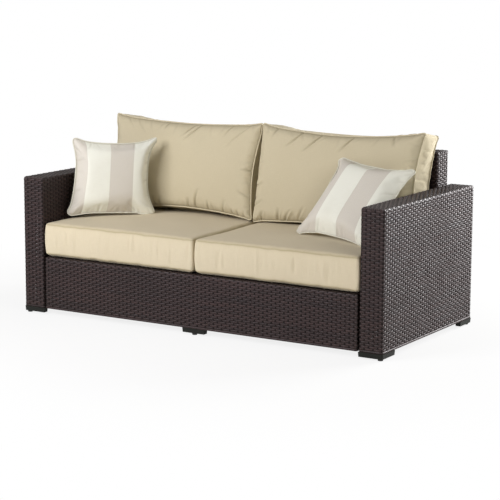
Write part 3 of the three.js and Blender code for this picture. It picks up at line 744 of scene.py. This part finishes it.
def sewn_case(half_x, half_y, wall, corner, cell, layers):
    """Points, quads, the flat pattern at each quad's corners, and the seams of a cover."""
    nx, ny = round(2 * half_x / cell), round(2 * half_y / cell)
    half = np.array([half_x, half_y])
    u, v = np.meshgrid(np.linspace(-1, 1, nx + 1), np.linspace(-1, 1, ny + 1))
    flat = rounded(np.stack([u.ravel(), v.ravel()], -1), corner / half) * half
    index = np.arange(len(flat)).reshape(ny + 1, nx + 1)
    edge = np.concatenate([index[0, :-1], index[:-1, -1], index[-1, :0:-1], index[:0:-1, 0]])
    quads = np.stack([index[:-1, :-1], index[:-1, 1:], index[1:, 1:], index[1:, :-1]], -1).reshape(-1, 4)
    points = [np.column_stack([flat, np.full(len(flat), wall / 2)])]
    rings, count = [edge], len(flat)
    for i in range(1, layers):
        rings.append(count + np.arange(len(edge)))
        points.append(np.column_stack([flat[edge], np.full(len(edge), wall / 2 - wall * i / layers)]))
        count += len(edge)
    if layers:
        rear = index + count
        rings.append(edge + count)
        points.append(np.column_stack([flat, np.full(len(flat), -wall / 2)]))
    else:
        inner = np.setdiff1d(np.arange(len(flat)), edge)
        number = np.arange(len(flat))
        number[inner] = count + np.arange(len(inner))
        rear = number[index]
        points.append(np.column_stack([flat[inner], np.zeros(len(inner))]))
    behind = np.stack([rear[:-1, :-1], rear[1:, :-1], rear[1:, 1:], rear[:-1, 1:]], -1).reshape(-1, 4)
    pattern, faces = [flat[quads], flat[quads[:, [0, 3, 2, 1]]]], [quads, behind]
    along = np.append(0, np.cumsum(np.linalg.norm(np.roll(flat[edge], -1, 0) - flat[edge], axis=1)))
    for i, (upper, lower) in enumerate(zip(rings, rings[1:])):
        faces.append(np.stack([upper, lower, np.roll(lower, -1), np.roll(upper, -1)], -1))
        across = np.array([i, i + 1, i + 1, i]) * wall / layers
        pattern.append(np.stack([along[[0, 0, 1, 1] + np.arange(len(edge))[:, None]],
                                 np.broadcast_to(across, (len(edge), 4))], -1))
    return np.vstack(points), np.vstack(faces), np.vstack(pattern), rings[::max(1, len(rings) - 1)]


# %% [markdown]
# ## Filling a cover
#
# A filled cushion is not a shape drawn by hand. Its faces swell, and to do that they pull the
# seams in between the corners, which leaves the corners standing out as small ears and gathers
# the cloth into short folds along the seams. Blender's cloth simulation does all of this from
# air pressure alone. Left to itself it would blow the cover up like a balloon, because there
# is no foam in it to hold the faces together. So the simulation runs its 20 steps, and then
# each point keeps only a limited part of its movement: little in the plane of the panel, more
# across it.

# %% Fill a cover with air
STEPS, PRESSURE, UNEVEN = 20, 4.0, 0.2 * MM


def values(items, name, width=1, sort=np.float32):
    """One attribute of all the items of a mesh, a row for each."""
    array = np.empty(len(items) * width, sort)
    items.foreach_get(name, array)
    return array.reshape(-1, width) if width > 1 else array


def evaluated(case):
    """The mesh of an object after its modifiers."""
    return case.evaluated_get(bpy.context.evaluated_depsgraph_get()).to_mesh()


def filled(points, quads, seed):
    """Where the points of a sewn cover end up when it is blown up. The cover itself goes away."""
    uneven = np.random.default_rng(seed).normal(0, UNEVEN, points.shape)
    mesh = new_mesh("case", points + uneven, quads)
    case = add_object("case", mesh)
    cloth = case.modifiers.new("air", "CLOTH")
    cloth.settings.quality = 5
    cloth.settings.use_pressure = True
    cloth.settings.uniform_pressure_force = PRESSURE
    cloth.settings.effector_weights.gravity = 0
    cloth.collision_settings.use_collision = False
    for step in range(1, STEPS + 1):
        bpy.context.scene.frame_set(step)
    ended = values(evaluated(case).vertices, "co", 3).astype(float)
    bpy.context.scene.frame_set(1)
    bpy.data.objects.remove(case)
    bpy.data.meshes.remove(mesh)
    return ended


# %% Subdivide a cover
PARTED = 4 * MM  # how far a pillow's two panels stand apart before it is filled


def finer(points, quads, pattern, kind):
    """Points, quads and pattern after one subdivision, and the middle point of each old edge."""
    mesh = new_mesh("coarse", points, quads, pattern)
    case = add_object("coarse", mesh)
    split = case.modifiers.new("split", "SUBSURF")
    split.levels, split.subdivision_type, split.uv_smooth = 1, kind, "NONE"
    made = evaluated(case)
    places = values(made.vertices, "co", 3).astype(float)
    faces = values(made.loops, "vertex_index", 1, np.int32).reshape(-1, 4)
    flat = values(made.uv_layers["cloth"].uv, "vector", 2).reshape(-1, 4, 2).astype(float)
    ends = np.sort(values(made.edges, "vertices", 2, np.int32), axis=1)
    ends = ends[(ends[:, 0] < len(points)) & (ends[:, 1] >= len(points))]
    ends = ends[np.argsort(ends[:, 1], kind="stable")].reshape(-1, 2, 2)
    middles = {(min(a, b), max(a, b)): m for (a, m), (b, _) in ends.tolist()}
    bpy.data.objects.remove(case)
    bpy.data.meshes.remove(mesh)
    return places, faces, flat, middles


def evened(points, quads, times):
    """Points after being moved towards the middle of their neighbours a number of times."""
    edges = np.vstack([quads[:, [i, (i + 1) % 4]] for i in range(4)])
    edges = np.vstack([edges, edges[:, ::-1]])
    count = np.bincount(edges[:, 0], minlength=len(points))[:, None]
    for _ in range(times):
        total = np.stack([np.bincount(edges[:, 0], line[edges[:, 1]], len(points))
                          for line in points.T], -1)
        points = points / 2 + total / count / 2
    return points


def filled_case(half_x, half_y, wall, corner, cell, layers, seed, even=0):
    """A sewn cover, flat and filled, both subdivided once, and its seams."""
    points, quads, pattern, seams = sewn_case(half_x, half_y, wall, corner, cell, layers)
    if not layers:
        inner = np.arange(len(points)) >= (len(points) + len(seams[0])) // 2
        dome = np.cos(points[:, 0] / half_x * np.pi / 2) * np.cos(points[:, 1] / half_y * np.pi / 2)
        points[:, 2] = np.where(inner, -1, 1) * PARTED * dome
    ended = points + evened(filled(points, quads, seed) - points, quads, even)
    flat, faces, cut, middles = finer(points, quads, pattern, "SIMPLE")
    blown = finer(ended, quads, pattern, "CATMULL_CLARK")[0]
    lines = []
    for seam in seams:
        pairs = zip(seam.tolist(), np.roll(seam, -1).tolist())
        lines.append(np.array([i for a, b in pairs for i in (a, middles[min(a, b), max(a, b)])]))
    return flat, blown, faces, cut, lines


# %% [markdown]
# ## Giving a cover its outline
#
# The simulation finds the folds, but how far the seams are drawn in depends on how full the
# cushion is, and that is read from the picture. So the filled cover is then stretched gently
# as a whole: its four corners go to the places that the picture gives them, and the middle of
# each side is drawn in by a given amount, with a smooth bow between.

# %% Limit, and then stretch
def held_back(flat, blown, half, in_plane, front, rear, dome):
    """Limits each point's movement, softly, in the plane of the panels and across them, and
    adds a broad dome to the front."""
    moved = blown - flat
    far = np.linalg.norm(moved[:, :2], axis=1) + 1e-9
    moved[:, :2] *= (in_plane * np.tanh(far / in_plane) / far)[:, None]
    limit = np.where(moved[:, 2] > 0, front, rear)
    moved[:, 2] = limit * np.tanh(moved[:, 2] / limit)
    share = flat[:, :2] / half
    moved[:, 2] += dome * (flat[:, 2] > 0) * (1 - share[:, 0] ** 2) * (1 - share[:, 1] ** 2)
    return flat + moved


LEFT, RIGHT, BOTTOM, TOP = range(4)
SIDES = (0, -1, [0, 3]), (0, 1, [1, 2]), (1, -1, [0, 1]), (1, 1, [2, 3])  # axis, sign, corners


def outline(points, flat, seam, half, corners, draws, bent=2.0, rear=1.0):
    """Moves the corners to the given places: lower left, lower right, upper right, upper left.
    Then draws in the middle of each side: left, right, bottom, top. The rear seam is drawn in
    by only a share of that, rear."""
    points, share = points.copy(), flat[:, :2] / half
    wall = flat[:, 2].max()
    deep = rear + (1 - rear) * (flat[:, 2] / wall + 1) / 2 if rear < 1 else np.ones(len(flat))
    line = flat[seam, :2] / half
    for _ in range(2):
        for sx, sy, place in zip((-1, 1, 1, -1), (-1, -1, 1, 1), corners):
            far = seam[np.argmax(line @ [sx, sy])]
            near = (1 + sx * share[:, 0]) * (1 + sy * share[:, 1]) / 4
            points[:, :2] += np.outer(near, np.array(place) * MM - points[far, :2])
    ends = np.array(corners) * MM
    for (axis, sign, pair), draw in zip(SIDES, draws):
        middle = seam[(np.abs(line[:, 1 - axis]) < 0.15) & (line[:, axis] * sign > 0)]
        wanted = ends[pair, axis].mean() - sign * draw * MM
        bow = 1 - np.abs(share[:, 1 - axis]) ** bent
        reach = np.clip(share[:, axis] * sign, 0, 1) ** 1.5
        points[:, axis] += (wanted - points[middle, axis].mean()) * bow * reach * deep
    return points


# %% [markdown]
# ## Tucks and wrinkles
#
# Along a seam the cloth is a little longer than the seam itself. It takes up the difference in
# tucks: short, sharp folds that start at the stitches and run out within a hand's width. The
# simulation makes the broad ones. The fine ones are smaller than its cells, so they are added
# as grooves with a raised lip on each side. The ones that stand out in the picture are placed
# one by one, and small ones between them come from a seeded list. A strip of cloth round a
# foam block wrinkles in another way, in upright ripples.

# %% Add tucks, ripples and swells
SEAM_SHADE, SEAM_GROOVE = 4 * MM, 6 * MM  # how far a seam's shadow and its groove reach
DARKEST = 9 * MM  # how deep a fold is that lies fully in shadow
RISES_IN = 5 * MM  # how soon a fold reaches its full depth
HILLS, RIPPLE_GAP = 0.24, 8 * MM


def fold(along, away, middle, slant, length, deep, width=5 * MM, bend=0.0):
    """One groove that starts at a seam. along and away are each point's place beside that seam."""
    t = np.clip(1 - away / length, 0, 1) ** 0.8 * np.clip(away / RISES_IN, 0, 1) * (away >= 0)
    line = middle + slant * away + bend * away ** 2
    across = np.abs(along - line) / (width * (0.8 + away / length))
    return -deep * t * (np.exp(-across ** 2) - 0.5 * np.exp(-1.3 * (across - 1.8) ** 2))


def tucks(along, away, span, number, deep, long, seed):
    """A number of folds along a seam, at random places."""
    rng = np.random.default_rng(seed)
    depth = np.zeros(len(along))
    for i in range(number):
        middle = span * (2 * (i + rng.uniform(0.1, 0.9)) / number - 1)
        length, width = long * rng.uniform(0.45, 1.35), rng.uniform(4, 7) * MM
        slant = rng.normal(0, 0.35) - 0.3 * middle / span
        depth += fold(along, away, middle, slant, length, deep * rng.uniform(0.35, 1), width,
                      rng.normal(0, 3))
    return depth


def ripples(along, up, height, span, number, deep, seed):
    """Upright wrinkles on a strip of the given height."""
    rng = np.random.default_rng(seed)
    depth = np.zeros(len(along))
    for i in range(number):
        middle = span * (2 * (i + rng.uniform(0, 1)) / number - 1)
        width, start, end = rng.uniform(4, 8) * MM, rng.uniform(-1.1, -0.3), rng.uniform(0.4, 1.2)
        t = up / (height / 2)
        window = np.clip((t - start) * 2, 0, 1) * np.clip((end - t) * 2, 0, 1)
        across = (along - middle - rng.normal(0, 0.06) * up) / width
        depth += deep * rng.normal(0, 1) * window * np.exp(-across ** 2)
    return depth


def swells(x, y, size, deep, seed):
    """Broad, shallow hills, where the filling is not quite even."""
    rng = np.random.default_rng(seed)
    height = np.zeros(len(x))
    for _ in range(7):
        turn, phase, wave = rng.uniform(0, np.pi), rng.uniform(0, 2 * np.pi), size * rng.uniform(0.7, 1.6)
        height += np.sin((x * np.cos(turn) + y * np.sin(turn)) / wave * 2 * np.pi + phase)
    return deep * height / 2.6


def dressed(shaped, flat, half, wall, counts, deep, long, seed, swell=1.5 * MM, strip=0,
            groove=2.2 * MM, placed=None):
    """Adds tucks to both panels, ripples to the strip, and the groove beside each seam. It also
    returns crease, the share of painted shade at each point: beside each seam and in the deeper
    folds. placed has folds of the front, by side: place in mm, slant, length and depth in mm,
    and bend."""
    x, y, z = flat.T
    edge = np.minimum(half[0] - np.abs(x), half[1] - np.abs(y))
    # crease is painted shade: it darkens the cloth beside the seams and in the folds.
    shaped, crease = shaped.copy(), np.exp(-edge / SEAM_SHADE)
    sides = ((y, x + half[0], half[1]), (y, half[0] - x, half[1]),
             (x, y + half[1], half[0]), (x, half[1] - y, half[0]))
    for face in (1, -1):
        on = (z * face > wall / 2 - 1e-6) if wall else (shaped[:, 2] * face > 0)
        folds = sum(tucks(along, away, span * 0.93, counts[i], deep, long, seed + 10 * i + face)
                    for i, (along, away, span) in enumerate(sides))
        for i, some in (placed or {}).items() if face == 1 else ():
            for place, slant, length, depth, bend in some:
                folds += fold(*sides[i][:2], place * MM, slant, length * MM, depth * MM, bend=bend)
        crease[on] = np.maximum(crease, np.clip(-folds / DARKEST, 0, 0.6))[on]
        height = folds + swells(x, y, HILLS, swell, seed + face) * np.clip(edge / 0.06, 0, 1)
        shaped[on, 2] += face * (height - groove * np.exp(-edge / SEAM_GROOVE))[on]
    if wall:
        inside = wall / 2 - np.abs(z)
        strip_on = inside > 1e-6
        # On the strip, painted shade is strongest next to its seams.
        crease[strip_on] = np.exp(-inside[strip_on] / SEAM_SHADE)
        room = np.clip(inside / (15 * MM), 0, 1)
        for axis, along in ((0, y), (1, x)):
            side = half[axis] - np.abs(flat[:, axis]) < 1e-4
            span = half[1 - axis]
            wave = ripples(along, z, wall, span, int(span / RIPPLE_GAP), strip, seed + axis)
            shaped[:, axis] += np.where(side & strip_on, np.sign(flat[:, axis]) * wave * room, 0)
    return shaped, crease


# %% [markdown]
# ## Resting one thing on another
#
# A cushion is flat only where it rests on something. Real ones settle until foam and cloth
# give way evenly, so the contact starts softly. Here a point that comes near another surface
# is slowed down on its way and never passes it. The surface itself is found by a ray: down
# onto the seat, or backwards onto the back cushion.

# %% Soft limits and rays
def above(value, limit, depth):
    """value, held softly above limit."""
    return limit + depth * np.logaddexp(0, (value - limit) / depth)


def below(value, limit, depth):
    """value, held softly below limit."""
    return -above(-value, -limit, depth)


def surface_of(pieces):
    """One tree of the faces of some pieces, where they are in the scene."""
    points, faces = [], []
    for piece in pieces:
        faces += [[i + len(points) for i in face.vertices] for face in piece.data.polygons]
        points += [piece.matrix_world @ vertex.co for vertex in piece.data.vertices]
    return BVHTree.FromPolygons(points, faces)


def first_hit(tree, starts, way, missed):
    """How far along one axis a ray from each start first meets the surface."""
    axis = int(np.argmax(np.abs(way)))
    found = np.full(len(starts), missed, float)
    for i, start in enumerate(starts):
        place = tree.ray_cast(Vector(start), Vector(way))[0]
        if place is not None:
            found[i] = place[axis]
    return found


# %% Make a cover into a piece
def new_piece(name, points, quads, pattern, finish, node):
    """A piece of cloth that rides on its own cushion's body and stands for its node."""
    mesh = new_mesh(name, points, quads, pattern)
    mesh.shade_smooth()
    mesh.materials.append(finish)
    piece = add_object(name, mesh)
    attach(piece, node)
    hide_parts(node)
    return piece


def cover_piece(name, points, quads, pattern, crease, seams, finish, node):
    """The cover as a piece of its own. Returns it, and for each seam its points and normals."""
    piece = new_piece(name, points, quads, pattern, finish, node)
    piece.data.attributes.new("crease", "FLOAT", "POINT").data.foreach_set(
        "value", crease.astype(np.float32))
    normals = values(piece.data.vertex_normals, "vector", 3).astype(float)
    size = (points.max(axis=0) - points.min(axis=0)) / MM
    print(f"{name}: {len(quads)} quads, {np.round(size).astype(int)} mm")
    return piece, [(points[seam], normals[seam]) for seam in seams]


# %% [markdown]
# ## Piping
#
# Piping is a thin cord wrapped in a strip of the cover's cloth and caught in the seam. It
# draws the crisp light line round each back cushion and each pillow. It is a tube that
# follows the seam, and half of it lies in the seam. The seat cushions have no cord, only a
# stitched seam, which shows as a fine dark line: the same tube, much thinner, in a darker
# colour that stands partly for the thread and partly for painted shade in the seam's groove.

# %% Lay a cord along a seam
# Each cord's radius, and how far its middle stands out from the seam.
STITCHING, PIPING, THIN_PIPING = (0.7 * MM, 0.3 * MM), (2.8 * MM, 1.8 * MM), (2.3 * MM, 1.4 * MM)


def cord_piece(name, line, radius, proud, finish, node, slot, sides=8):
    """Sweeps a round cord along a closed seam."""
    path, outward = line[0] + line[1] * proud, line[1]
    for _ in range(2):
        path = path / 2 + (np.roll(path, 1, 0) + np.roll(path, -1, 0)) / 4
    way = np.roll(path, -1, 0) - np.roll(path, 1, 0)
    way /= np.linalg.norm(way, axis=1, keepdims=True)
    side = np.cross(way, outward)
    side /= np.linalg.norm(side, axis=1, keepdims=True)
    outward = np.cross(side, way)
    angle = np.arange(sides) / sides * 2 * np.pi
    points = (path[:, None] + radius * (np.cos(angle)[:, None] * outward[:, None]
                                        + np.sin(angle)[:, None] * side[:, None]))
    index = np.arange(len(path) * sides).reshape(-1, sides)
    there = np.roll(index, -1, axis=0)
    quads = np.stack([index, np.roll(index, -1, 1), np.roll(there, -1, 1), there], -1).reshape(-1, 4)
    start = np.append(0, np.cumsum(np.linalg.norm(np.roll(path, -1, 0) - path, axis=1)))
    turned = np.arange(sides + 1) / sides * 2 * np.pi * radius
    u = np.stack([start[:-1], start[:-1], start[1:], start[1:]], -1)[:, None].repeat(sides, 1)
    v = np.stack([turned[:-1], turned[1:], turned[1:], turned[:-1]], -1)[None].repeat(len(path), 0)
    new_piece(name, points.reshape(-1, 3), quads, np.stack([u, v], -1), finish, node)
    print(f"{name}: {start[-1]:.2f} m of cord {2 * radius / MM:.1f} mm thick")


# %% [markdown]
# ## The seat cushions
#
# Two firm foam cushions side by side, 133 mm from seam to seam. Firm foam fills its cover
# tightly, so these crown only a little and their sides hardly pull in. Underneath they are
# flat on the deck, and they press against the arms and each other. Loose cushions never meet
# quite in the middle: towards the back, the right one has pushed the left one over a little.

# %% Make the seat cushions
ARM_FACE, BACK_FACE, DECK, APRON_FACE = 0.787, 0.280, 0.260, -0.4198
SEAT_BULGE, PUSHED, PUSH_START, PUSH_LENGTH = 4.5 * MM, 12.5 * MM, -0.17, 0.2
SEAT_MIDDLE = np.array([0.39325, -0.070, 0.3385])
SEAT_HALF, SEAT_WALL, SEAT_CORNER, SEAT_CELL = (0.38775, 0.344), 0.133, 0.012, 9 * MM
SEAT_CORNERS = [(-384, -340.5), (384, -340.5), (384, 340.5), (-384, 340.5)]
seat_cushions = []
for side, sign in (("left", -1), ("right", 1)):
    node = f"seat_cushion_{side}"
    flat, blown, quads, cut, seams = filled_case(
        *SEAT_HALF, SEAT_WALL, SEAT_CORNER, SEAT_CELL, layers=11, seed=3 + sign)
    shaped = held_back(flat, blown, SEAT_HALF, in_plane=3 * MM, front=7 * MM, rear=14 * MM,
                       dome=12 * MM)
    shaped = outline(shaped, flat, seams[0], SEAT_HALF, SEAT_CORNERS, (3, 3, 3, 3))
    shaped, crease = dressed(shaped, flat, SEAT_HALF, SEAT_WALL, counts=(9, 9, 16, 9),
                             deep=1.4 * MM, long=60 * MM, seed=50 + sign, strip=2.4 * MM,
                             groove=0.4 * MM)
    swell = np.clip(1 - (flat[:, 2] / (SEAT_WALL / 2)) ** 2, 0, 1)
    for axis in (0, 1):
        edge = np.clip(np.abs(flat[:, axis]) / SEAT_HALF[axis], 0, 1) ** 12
        shaped[:, axis] += np.sign(flat[:, axis]) * SEAT_BULGE * swell * edge
    placed = shaped + SEAT_MIDDLE * [sign, 1, 1]
    rearward = np.clip((placed[:, 1] - PUSH_START) / PUSH_LENGTH, 0, 1)
    pushed = PUSHED * rearward ** 2 * (3 - 2 * rearward)
    placed[:, 0] -= pushed * (0.5 - sign * flat[:, 0] / SEAT_HALF[0] / 2) ** 2
    inner, outer = 0.5 * MM - sign * pushed, ARM_FACE - 0.6 * MM
    x = below(above(placed[:, 0] * sign, inner, 1.5 * MM), outer, 1.5 * MM) * sign
    y = below(above(placed[:, 1], APRON_FACE, 0.8 * MM), BACK_FACE - 1 * MM, 2 * MM)
    z = above(placed[:, 2], DECK + 0.5 * MM, 1.5 * MM)
    piece, lines = cover_piece(node + "_cover", np.column_stack([x, y, z]), quads, cut, crease, seams,
                               seat_cloth, node)
    seat_cushions.append(piece)
    for end, line in zip(("top", "bottom"), lines):
        cord_piece(f"{node}_{end}_seam", line, *STITCHING, seam_thread_and_shade, node, "seat_fabric", 6)
seat_surface = surface_of(seat_cushions)


def seat_height(points):
    """How high the seat cushions lie under some points."""
    starts = np.column_stack([points[:, :2], np.full(len(points), 1.0)])
    return first_hit(seat_surface, starts, (0, 0, -1), -1.0)


# %% [markdown]
# ## The back cushions
#
# These are softer: their filling is loose, so the top edge sags by a thumb's width between
# its corners, and folds run into the seams. They lean back at 11 degrees from the middle of
# the seat to the top of the woven back, and each one rests on its seat cushion.

# %% Make the back cushions
LEAN = math.radians(11)
BACK_UP = np.array([0, math.sin(LEAN), math.cos(LEAN)])
BACK_OUT = np.array([0, -math.cos(LEAN), math.sin(LEAN)])
BACK_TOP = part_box("back_weave")[1][2]
BACK_HALF, BACK_WALL, BACK_CORNER, BACK_CELL = (0.3845, 0.214), 0.128, 0.012, 7.5 * MM
BACK_FOOT, BACK_MIDDLE = np.array([0, 0.079, 0.408]), 0.3925
ARM_TOP = 0.610
OVER_ARM = ARM_TOP + 0.036  # above this the arm no longer holds a cushion back
folds_seen = {
    "left": {
        TOP: [(-89, -0.4, 45, 6, 0), (52, -0.9, 75, 6, 0), (77, -0.65, 92, 7, -2),
              (-255, 0.4, 60, 4.5, 2), (235, -0.5, 65, 5, 0), (330, -0.8, 120, 3.5, -1)],
        BOTTOM: [(45, 0.5, 60, 7, -6), (90, 0.05, 115, 8, 1), (154, 0.3, 60, 7, -4),
                 (235, 0.3, 90, 4, -2), (282, 0.2, 40, 5, 0), (315, -0.2, 36, 6, 0),
                 (346, 0.1, 40, 5, 0), (-130, -0.3, 55, 4.5, 3)],
        RIGHT: [(0, 0.1, 62, 6, 0), (-120, 0.4, 80, 4, 0)],
        LEFT: [(60, -0.5, 60, 4, 0)]},
    "right": {
        TOP: [(-175, -0.6, 95, 8, -1), (-82, -0.6, 110, 8, -1), (68, -0.6, 95, 7.5, 0),
              (245, 0.3, 60, 5, 0), (-300, -0.3, 60, 5, 0)],
        LEFT: [(-60, 0.3, 60, 5, 0), (-150, 0.5, 70, 5, 0)],
        BOTTOM: [(-345, 0.7, 50, 5, -3), (-327, 0.4, 55, 7, -5), (-245, 0.3, 70, 7, -4),
                 (-210, 0.5, 60, 6, 0), (-150, 0.6, 80, 4.5, -2), (-60, -0.2, 60, 4.5, 2)],
        RIGHT: [(40, 0.4, 60, 5, 0), (-90, -0.3, 70, 4, 0)]}}
back_cushions = []
for side, sign, corners, draws, inner, outer in (
        ("left", -1, [(-384, -210), (364, -204), (380, 223), (-401, 226)],
         (10, 23, 34, 24), (22, 17), 783),
        ("right", 1, [(-413, -211), (373, -205), (382, 228), (-398, 225)],
         (-2, 21, 22, 36), (-7, -6), 785)):
    node = f"back_cushion_{side}"
    flat, blown, quads, cut, seams = filled_case(
        *BACK_HALF, BACK_WALL, BACK_CORNER, BACK_CELL, layers=12, seed=11 + sign)
    shaped = held_back(flat, blown, BACK_HALF, in_plane=18 * MM, front=18 * MM, rear=8 * MM,
                       dome=19 * MM)
    shaped = outline(shaped, flat, seams[0], BACK_HALF, corners, draws, bent=1.7, rear=0.5)
    shaped, crease = dressed(shaped, flat, BACK_HALF, BACK_WALL, counts=(7, 7, 15, 11),
                             deep=2.6 * MM, long=60 * MM, seed=70 + sign, swell=3 * MM,
                             strip=1.2 * MM, placed=folds_seen[side])
    middle = BACK_FOOT + BACK_UP * 0.22 - BACK_OUT * BACK_WALL / 2 + [sign * BACK_MIDDLE, 0, 0]
    placed = middle + shaped @ np.array([ALONG, BACK_UP, BACK_OUT])
    z = above(placed[:, 2], seat_height(placed) + 0.4 * MM, 2.5 * MM)
    y = below(placed[:, 1], BACK_FACE - 0.6 * MM + np.maximum(0, z - BACK_TOP), 2.5 * MM)
    inner = np.interp(flat[:, 1], [-BACK_HALF[1], BACK_HALF[1]], inner) * MM
    outer = outer * MM + np.clip(z - OVER_ARM, 0, 12 * MM)
    x = below(above(placed[:, 0] * sign, inner, 1 * MM), outer, 1 * MM) * sign
    piece, lines = cover_piece(node + "_cover", np.column_stack([x, y, z]), quads, cut, crease, seams,
                               back_cloth, node)
    back_cushions.append(piece)
    for end, line in zip(("front", "rear"), lines):
        cord_piece(f"{node}_{end}_piping", line, *PIPING, cord_cloth, node, "back_fabric")
back_surface = surface_of(back_cushions)


# %% [markdown]
# ## The striped pillows
#
# Two knife edged pillows in four broad stripes, with piping in the seam. The left one stands
# in the corner and has slumped a little, so it is lower than it is wide. The right one leans
# far back against the cushion and the arm. Each one is filled flat, turned into place, and
# then presses into whatever it meets: the seat below, the back cushion behind, the arm beside.

# %% Make the pillows
def stand_up(points, turned, leaned, tilted, middle):
    """Turns a cover that lies flat into its place. The angles are in degrees."""
    place = (Matrix.Rotation(math.radians(turned), 3, "Z")
             @ Matrix.Rotation(math.radians(90 - leaned), 3, "X")
             @ Matrix.Rotation(math.radians(-tilted), 3, "Z"))
    return points @ np.array(place).T + middle


PILLOW_CORNER, PILLOW_CELL, EARS, GIVES = 0.034, 7 * MM, 9 * MM, 9 * MM
for side, size, pose, middle, corners, draws, edges in (
        ("left", (0.392, 0.344), (44.5, 9.5, 2.5), (-0.629, -0.108, 0.592),
         [(-205, -167), (190, -164), (199, 179), (-184, 167)], (24, 41, 6, 25), (-0.130, -0.023, 0.083)),
        ("right", (0.396, 0.396), (-10, 42.4, 3.9), (0.570, -0.052, 0.5614),
         [(-201, -193), (198, -197), (197, 206), (-203, 210)], (14, 24, 24, 22), (-0.101, 0.005, 0.110))):
    node, half = f"pillow_{side}", np.array(size) / 2
    flat, blown, quads, cut, seams = filled_case(
        *half, 0, PILLOW_CORNER, PILLOW_CELL, layers=0, seed=20 + len(side), even=8)
    shaped = held_back(flat, blown, half, in_plane=22 * MM, front=62 * MM, rear=62 * MM, dome=0)
    shaped = outline(shaped, flat, seams[0], half, corners, draws, bent=2.6)
    share = np.abs(flat[:, :2]) / half
    ears = np.prod(share, axis=1) ** 4 * (1 - share.max(axis=1) ** 30)
    shaped[:, 2] += np.sign(shaped[:, 2]) * EARS * ears
    shaped, crease = dressed(shaped, flat, half, 0, counts=(8, 8, 11, 8), deep=4.2 * MM,
                             long=48 * MM, seed=90 + len(side))
    placed = stand_up(shaped, *pose, middle)
    z = above(placed[:, 2], seat_height(placed) + 0.6 * MM, 1.5 * MM)
    reach = ARM_FACE - 1.2 * MM + np.maximum(0, z - OVER_ARM)
    x = below(above(placed[:, 0], -reach, GIVES), reach, GIVES)
    rays = np.column_stack([x, np.full(len(x), -1.0), z])
    y = below(placed[:, 1], first_hit(back_surface, rays, (0, 1, 0), 9.0) - 1.2 * MM, GIVES)
    finish = striped_material(f"striped_cloth_{side}", edges)
    _, lines = cover_piece(node + "_cover", np.column_stack([x, y, z]), quads, cut, crease, seams,
                           finish, node)
    cord_piece(f"{node}_piping", lines[0], *THIN_PIPING, cream_cord, node, "pillow_fabric")

# %% [markdown]
# ## The studio
#
# The picture was taken on a white sweep. A floor that carries the sofa's soft shadow fades
# into plain white, and the world behind it is white where the camera or a reflection sees it.
# For everything else the world is a mild warm fill. Three large lamps do the rest. The key
# lamp stands in front, a little to the left and above the cushions. The second lights the
# fronts from the right. The third stands at the right behind the sofa, low enough to skim
# along the arm, and draws the bright dashes on its weave.

# %% Floor and world
floor_mesh = bpy.data.meshes.new("floor")
floor_mesh.from_pydata([(-60, -60, 0), (60, -60, 0), (60, 60, 0), (-60, 60, 0)], [], [(0, 1, 2, 3)])
floor = add_object("floor", floor_mesh)


def seen_plainly(tree):
    """1 for rays from the camera, and those mirrored by gloss or passed through glass."""
    path = put(tree, "LightPath").outputs
    return maths(tree, "MAXIMUM", path["Is Camera Ray"], maths(
        tree, "MAXIMUM", path["Is Glossy Ray"], path["Is Transmission Ray"]))


floor_material = bpy.data.materials.new("white_sweep")
tree = empty_tree(floor_material)
paper = put(tree, "BsdfDiffuse", {"Color": (0.9, 0.9, 0.9, 1)}).outputs[0]
glow = put(tree, "Emission", {"Color": (1, 1, 1, 1), "Strength": 1}).outputs[0]
away = put(tree, "VectorMath", {0: object_place(tree)}, operation="LENGTH").outputs["Value"]
fade = put(tree, "MapRange", {0: away, 1: 0.9, 2: 2.2, 3: 0.84, 4: 1.0},
           interpolation_type="SMOOTHSTEP").outputs[0]
share = maths(tree, "MULTIPLY", fade, seen_plainly(tree))
swept = put(tree, "MixShader", {0: share, 1: paper, 2: glow}).outputs[0]
put(tree, "OutputMaterial", {"Surface": swept})
lay_out(tree)
floor_mesh.materials.append(floor_material)

world = bpy.data.worlds.new("white_room")
bpy.context.scene.world = world
tree = empty_tree(world)
fill = mixed(tree, seen_plainly(tree), (0.195, 0.178, 0.15, 1), (1, 1, 1, 1))
back = put(tree, "Background", {"Color": fill, "Strength": 1}).outputs[0]
put(tree, "OutputWorld", {"Surface": back})
lay_out(tree)

# %% Lamps
def lamp(name, place, target, size, power, tint=(1, 1, 1)):
    """A rectangular lamp that is turned to a target and stays out of the picture."""
    data = bpy.data.lights.new(name, "AREA")
    data.shape = "RECTANGLE"
    data.size, data.size_y = size
    data.energy, data.color = power, tint
    made = add_object(name, data)
    made.location = place
    made.visible_camera = False
    made.rotation_euler = (Vector(target) - Vector(place)).to_track_quat("-Z", "Y").to_euler()


lamp("key_lamp", (-1.2, -2.9, 1.9), (-0.4, 0, 0.4), (2.0, 1.4), 88, (1, 1, 1.04))
lamp("right_lamp", (4.4, -1.4, 2.1), (0, 0, 0.4), (2.0, 2.0), 42)
lamp("side_lamp", (2.3, 3.5, 1.5), (0.9, 0, 0.3), (2.8, 1.9), 270)
bpy.context.scene.view_settings.view_transform = "Standard"
